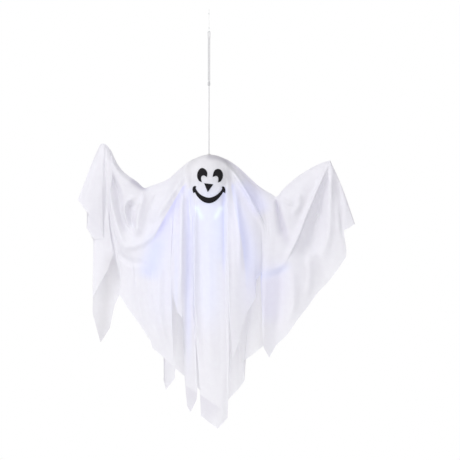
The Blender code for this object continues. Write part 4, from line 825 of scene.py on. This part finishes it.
# The lamp's light on the inside of the back, which shows through the slits
inner_strokes = [
    ([(179, 280), (178, 360), (178, 420)], (13, 11), 0, 0.5, "F8F7FB"),
    ([(262, 264), (256, 330), (250, 410)], (10, 24), 0, 0.9, "F8F7FB"),
    ([(234, 330), (233, 440)], (14, 14), 0, 0.5, "F8F7FB"),
]
unlit = np.array(linear("EBEAF0")[:3])
# Per corner of the sheet: the painted lamp tint and painted shade, which multiply the cloth's colour, and the
# painted lamp glow
tint_layer = grid.verts.layers.float_color.new("painted_lamp_tint_and_shade")
light_layer = grid.verts.layers.float_color.new("lamp_light")
places = np.array([corner.co for corner in grid.verts])
px, py = pixels_of(places)
share = np.ones((len(places), 3))
before = np.clip(-places[:, 1] / (5 * mm), 0, 1)
for strokes, shown in ((lamp_strokes, before), (painted_shade_strokes, 1.0), (inner_strokes, 1 - before)):
    for line, widths, sharp, strength, colour in strokes:
        spread = (stroke_height(px, py, line, widths, sharp, fade=(0, 0.4)) * strength * shown)[:, None]
        share = share * (1 - spread) + np.array(linear(colour)[:3]) / unlit * spread
for corner, value in zip(grid.verts, share):
    corner[tint_layer] = (*np.minimum(value, 1.0), 1.0)
    corner[light_layer] = (*np.maximum(value - 1.0, 0.0), 1.0)

voile = new_finish("polyester_voile", roughness=0.85, sheen_weight=0.2, sheen_roughness=0.5,
                   emission_strength=1.2)
sheet = add_piece("draped_sheet", grid, voile)
light, tint, rolled = [add_node(voile, "ShaderNodeAttribute", {"attribute_name": name})
                       for name in ("lamp_light", "painted_lamp_tint_and_shade", "rolled_hem")]
shade = blend(voile, noise(voile, 9 * mm, Detail=3.0), "EAE8EE", "EFEFF3")
# The plain weave has two threads to the millimetre; drawn three times as coarse, it shows from close by
warp, weft = [waves(voile, 1.5 * mm, axis) for axis in ("X", "Z")]
weave = product(voile, warp, weft)
lifted = add_node(voile, "ShaderNodeMath", {"operation": "MULTIPLY", 1: 0.3}, {0: weave}).outputs[0]
# The cloth's colour times the painted lamp tint and painted shade
tinted = add_node(voile, "ShaderNodeMix", {"data_type": "RGBA", "blend_type": "MULTIPLY", 0: 1.0},
                  {6: blend(voile, lifted, shade, "F3F3F6"), 7: tint.outputs["Color"]}).outputs[2]
# Creases from the packing, some 15 mm apart, under the finer relief of the weave
crumpled = bump(voile, noise(voile, 15 * mm, Detail=5.0, Distortion=0.6), 0.35, 1.5 * mm)
feed(voile, base_color=tinted, emission_color=light.outputs["Color"],
     normal=bump(voile, weave, 0.3, 0.1 * mm, crumpled))
# A good part of the light on the thin cloth comes out on its other side, but less where it is rolled
through = add_node(voile, "ShaderNodeBsdfTranslucent", links={"Color": tinted}).outputs[0]
passed = ranged(voile, rolled.outputs["Fac"], 0.38, 0.14)
shader = voile.node_tree.nodes["Principled BSDF"].outputs[0]
thin = add_node(voile, "ShaderNodeMixShader", links={0: passed, 1: shader, 2: through})
voile.node_tree.links.new(thin.outputs[0], voile.node_tree.nodes["Material Output"].inputs["Surface"])
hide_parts("ghost_cloth")
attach(sheet, "ghost")

# Face: two eyes, a nose and a mouth, die-cut from black polyester felt under a millimetre thick and glued on
# the sheet, so each follows the sheet's curve.
felt_thickness = 0.9 * mm
glue = 0.15 * mm
left_eye_px = [
    (203, 167.8), (206.3, 170), (207.6, 173.6), (206.8, 177.2), (205, 175.8), (203.4, 175.2),
    (201.7, 176), (200.9, 177.8), (201.2, 179.8), (201.9, 182.3), (199.2, 181.2), (197.6, 178.9),
    (197, 175.8), (197.4, 172.7), (199, 169.6), (200.8, 168.1),
]
right_eye_px = [
    (217.7, 168.7), (214.8, 169.8), (213.3, 172.7), (212.6, 177.1), (214.2, 176.5), (215.9, 175.7),
    (217.7, 176.5), (218.5, 178.3), (218.3, 180.7), (217.9, 182.6), (220.4, 181.6), (222.2, 179.4),
    (223.1, 176.2), (222.9, 173.1), (221.5, 170.4), (219.7, 169.1),
]
nose_px = [(204.1, 183.2), (213.3, 184.3), (207.8, 192.1)]
mouth_px = [
    (195.4, 185.8), (196.3, 186.7), (195.5, 187.9), (196.5, 190.1), (199.2, 193.7), (203.2, 196.3),
    (208.6, 198), (213.9, 196.7), (218.8, 193.4), (222, 189.6), (222.3, 187.9), (221.7, 187),
    (223.1, 186.1), (224.6, 187.2), (225.6, 190.1), (225.1, 193.2), (223.3, 191.9), (221.1, 195.4),
    (217.5, 199.7), (213, 202.6), (208.6, 203.4), (204.1, 202.4), (199.6, 199.2), (196.5, 195.4),
    (195, 192.3), (193.4, 193.2), (192.3, 190.1), (192.7, 187.4), (193.8, 186.2),
]
felt = new_finish("black_polyester_felt", roughness=0.95, specular_ior_level=0.2, sheen_weight=0.08)
fibres = noise(felt, 0.6 * mm, Detail=5.0, Roughness=0.65)
feed(felt, base_color=blend(felt, fibres, "0D0C0F", "1E1C20"), normal=bump(felt, fibres, 0.5, 0.2 * mm))

shown_front = BVHTree.FromObject(sheet, bpy.context.evaluated_depsgraph_get())
eye_point = Vector((view_x, -view_distance, view_z))


def rounded(outline, times=2, sharp_turn=math.radians(75)):
    """A closed outline with its corners softened, but for those where it turns more sharply than that."""
    for _ in range(times):
        soft = []
        for before, corner, after in zip(outline[-1:] + outline[:-1], outline, outline[1:] + outline[:1]):
            before, corner, after = Vector(before), Vector(corner), Vector(after)
            if (corner - before).angle(after - corner) > sharp_turn:
                soft.append(tuple(corner))
            else:
                soft += [tuple(corner.lerp(before, 0.25)), tuple(corner.lerp(after, 0.25))]
        outline = soft
    return outline


def felt_piece(node, outline, grid_px=0.8):
    """A felt outline cut into small squares and laid on the front of the sheet with its own thickness."""
    shape = bmesh.new()
    shape.faces.new([shape.verts.new((px, 0.0, -py)) for px, py in rounded(outline)])
    for axis in (0, 2):
        low = min(corner.co[axis] for corner in shape.verts)
        high = max(corner.co[axis] for corner in shape.verts)
        cuts = round((high - low) / grid_px)
        normal = Vector((axis == 0, 0.0, axis == 2))
        for step in range(1, cuts):
            bmesh.ops.bisect_plane(shape, geom=shape.verts[:] + shape.edges[:] + shape.faces[:],
                                   plane_co=normal * (low + (high - low) * step / cuts), plane_no=normal)
    bmesh.ops.triangulate(shape, faces=[face for face in shape.faces if len(face.verts) > 4])
    drawn = bmesh.ops.extrude_face_region(shape, geom=shape.faces[:])["geom"]
    outer = {item for item in drawn if isinstance(item, bmesh.types.BMVert)}
    for corner in shape.verts:
        towards = from_photo(corner.co.x, -corner.co.z, 0.0) - eye_point
        hit = shown_front.ray_cast(eye_point, towards.normalized())[0]
        corner.co = hit + Vector((0.0, -glue - (felt_thickness if corner in outer else 0.0), 0.0))
    bmesh.ops.recalc_face_normals(shape, faces=shape.faces)
    piece = add_piece("felt_" + node, shape, felt, smooth=False)
    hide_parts(node)
    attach(piece, "ghost")


felt_piece("left_eye", left_eye_px)
felt_piece("right_eye", right_eye_px)
felt_piece("nose", nose_px)
felt_piece("mouth", mouth_px)

# Backdrop, lights and camera: a white room with soft light from the left and the front, and a long lens
# level with the ghost's middle.
floor_z = view_z - 0.75
ghost_middle = Vector((0.0, 0.0, -0.42))
white = new_finish("white_backdrop", base_color=linear("F4F4F4"), roughness=0.9)
plane = bmesh.new()
bmesh.ops.create_grid(plane, x_segments=1, y_segments=1, size=2.4)
bmesh.ops.translate(plane, verts=plane.verts, vec=(0, 0, floor_z))
floor = add_piece("floor", plane, white)

world = bpy.data.worlds.new("white_room")
world.use_nodes = True
bpy.context.scene.world = world
sky = world.node_tree.nodes["Background"]
sky.inputs["Color"].default_value = (1, 1, 1, 1)
# The room is brighter before the ghost, to the left, than behind it
heading = add_node(world, "ShaderNodeTexCoord").outputs["Generated"]
facing = add_node(world, "ShaderNodeVectorMath", {"operation": "DOT_PRODUCT", 1: (-0.4, -0.85, 0.3)},
                  {0: heading}).outputs["Value"]
world.node_tree.links.new(ranged(world, facing, 0.32, 0.86, start=-1.0), sky.inputs["Strength"])
seen = add_node(world, "ShaderNodeBackground", {"Color": (1, 1, 1, 1), "Strength": 1.0})
path = add_node(world, "ShaderNodeLightPath").outputs
direct = path["Is Camera Ray"]
for ray in ("Is Glossy Ray", "Is Transmission Ray"):
    direct = add_node(world, "ShaderNodeMath", {"operation": "MAXIMUM"}, {0: direct, 1: path[ray]}).outputs[0]
mixed = add_node(world, "ShaderNodeMixShader", links={0: direct, 1: sky.outputs[0], 2: seen.outputs[0]})
world.node_tree.links.new(mixed.outputs[0], world.node_tree.nodes["World Output"].inputs["Surface"])

for name, place, size, power in (("soft_box_left", (-1.7, -1.8, 0.7), 1.2, 24.0),
                                ("soft_box_front", (0.3, -2.3, 1.1), 1.4, 19.0),
                                ("soft_box_back", (1.9, 1.9, 0.9), 1.2, 3.0)):
    lamp = bpy.data.lights.new(name, "AREA")
    lamp.size = size
    lamp.energy = power
    stand = new_object(name, lamp)
    stand.location = place
    stand.rotation_euler = (ghost_middle - Vector(place)).to_track_quat("-Z", "Y").to_euler()

lens = bpy.data.cameras.new("camera")
lens.sensor_width = 36.0
lens.lens = lens.sensor_width * view_distance / (2 * middle_px * pixel)
lens.clip_end = 50.0
camera = new_object("camera", lens)
camera.location = eye_point
camera.rotation_euler = (math.pi / 2, 0, 0)
bpy.context.scene.camera = camera
bpy.context.scene.view_settings.view_transform = "Standard"
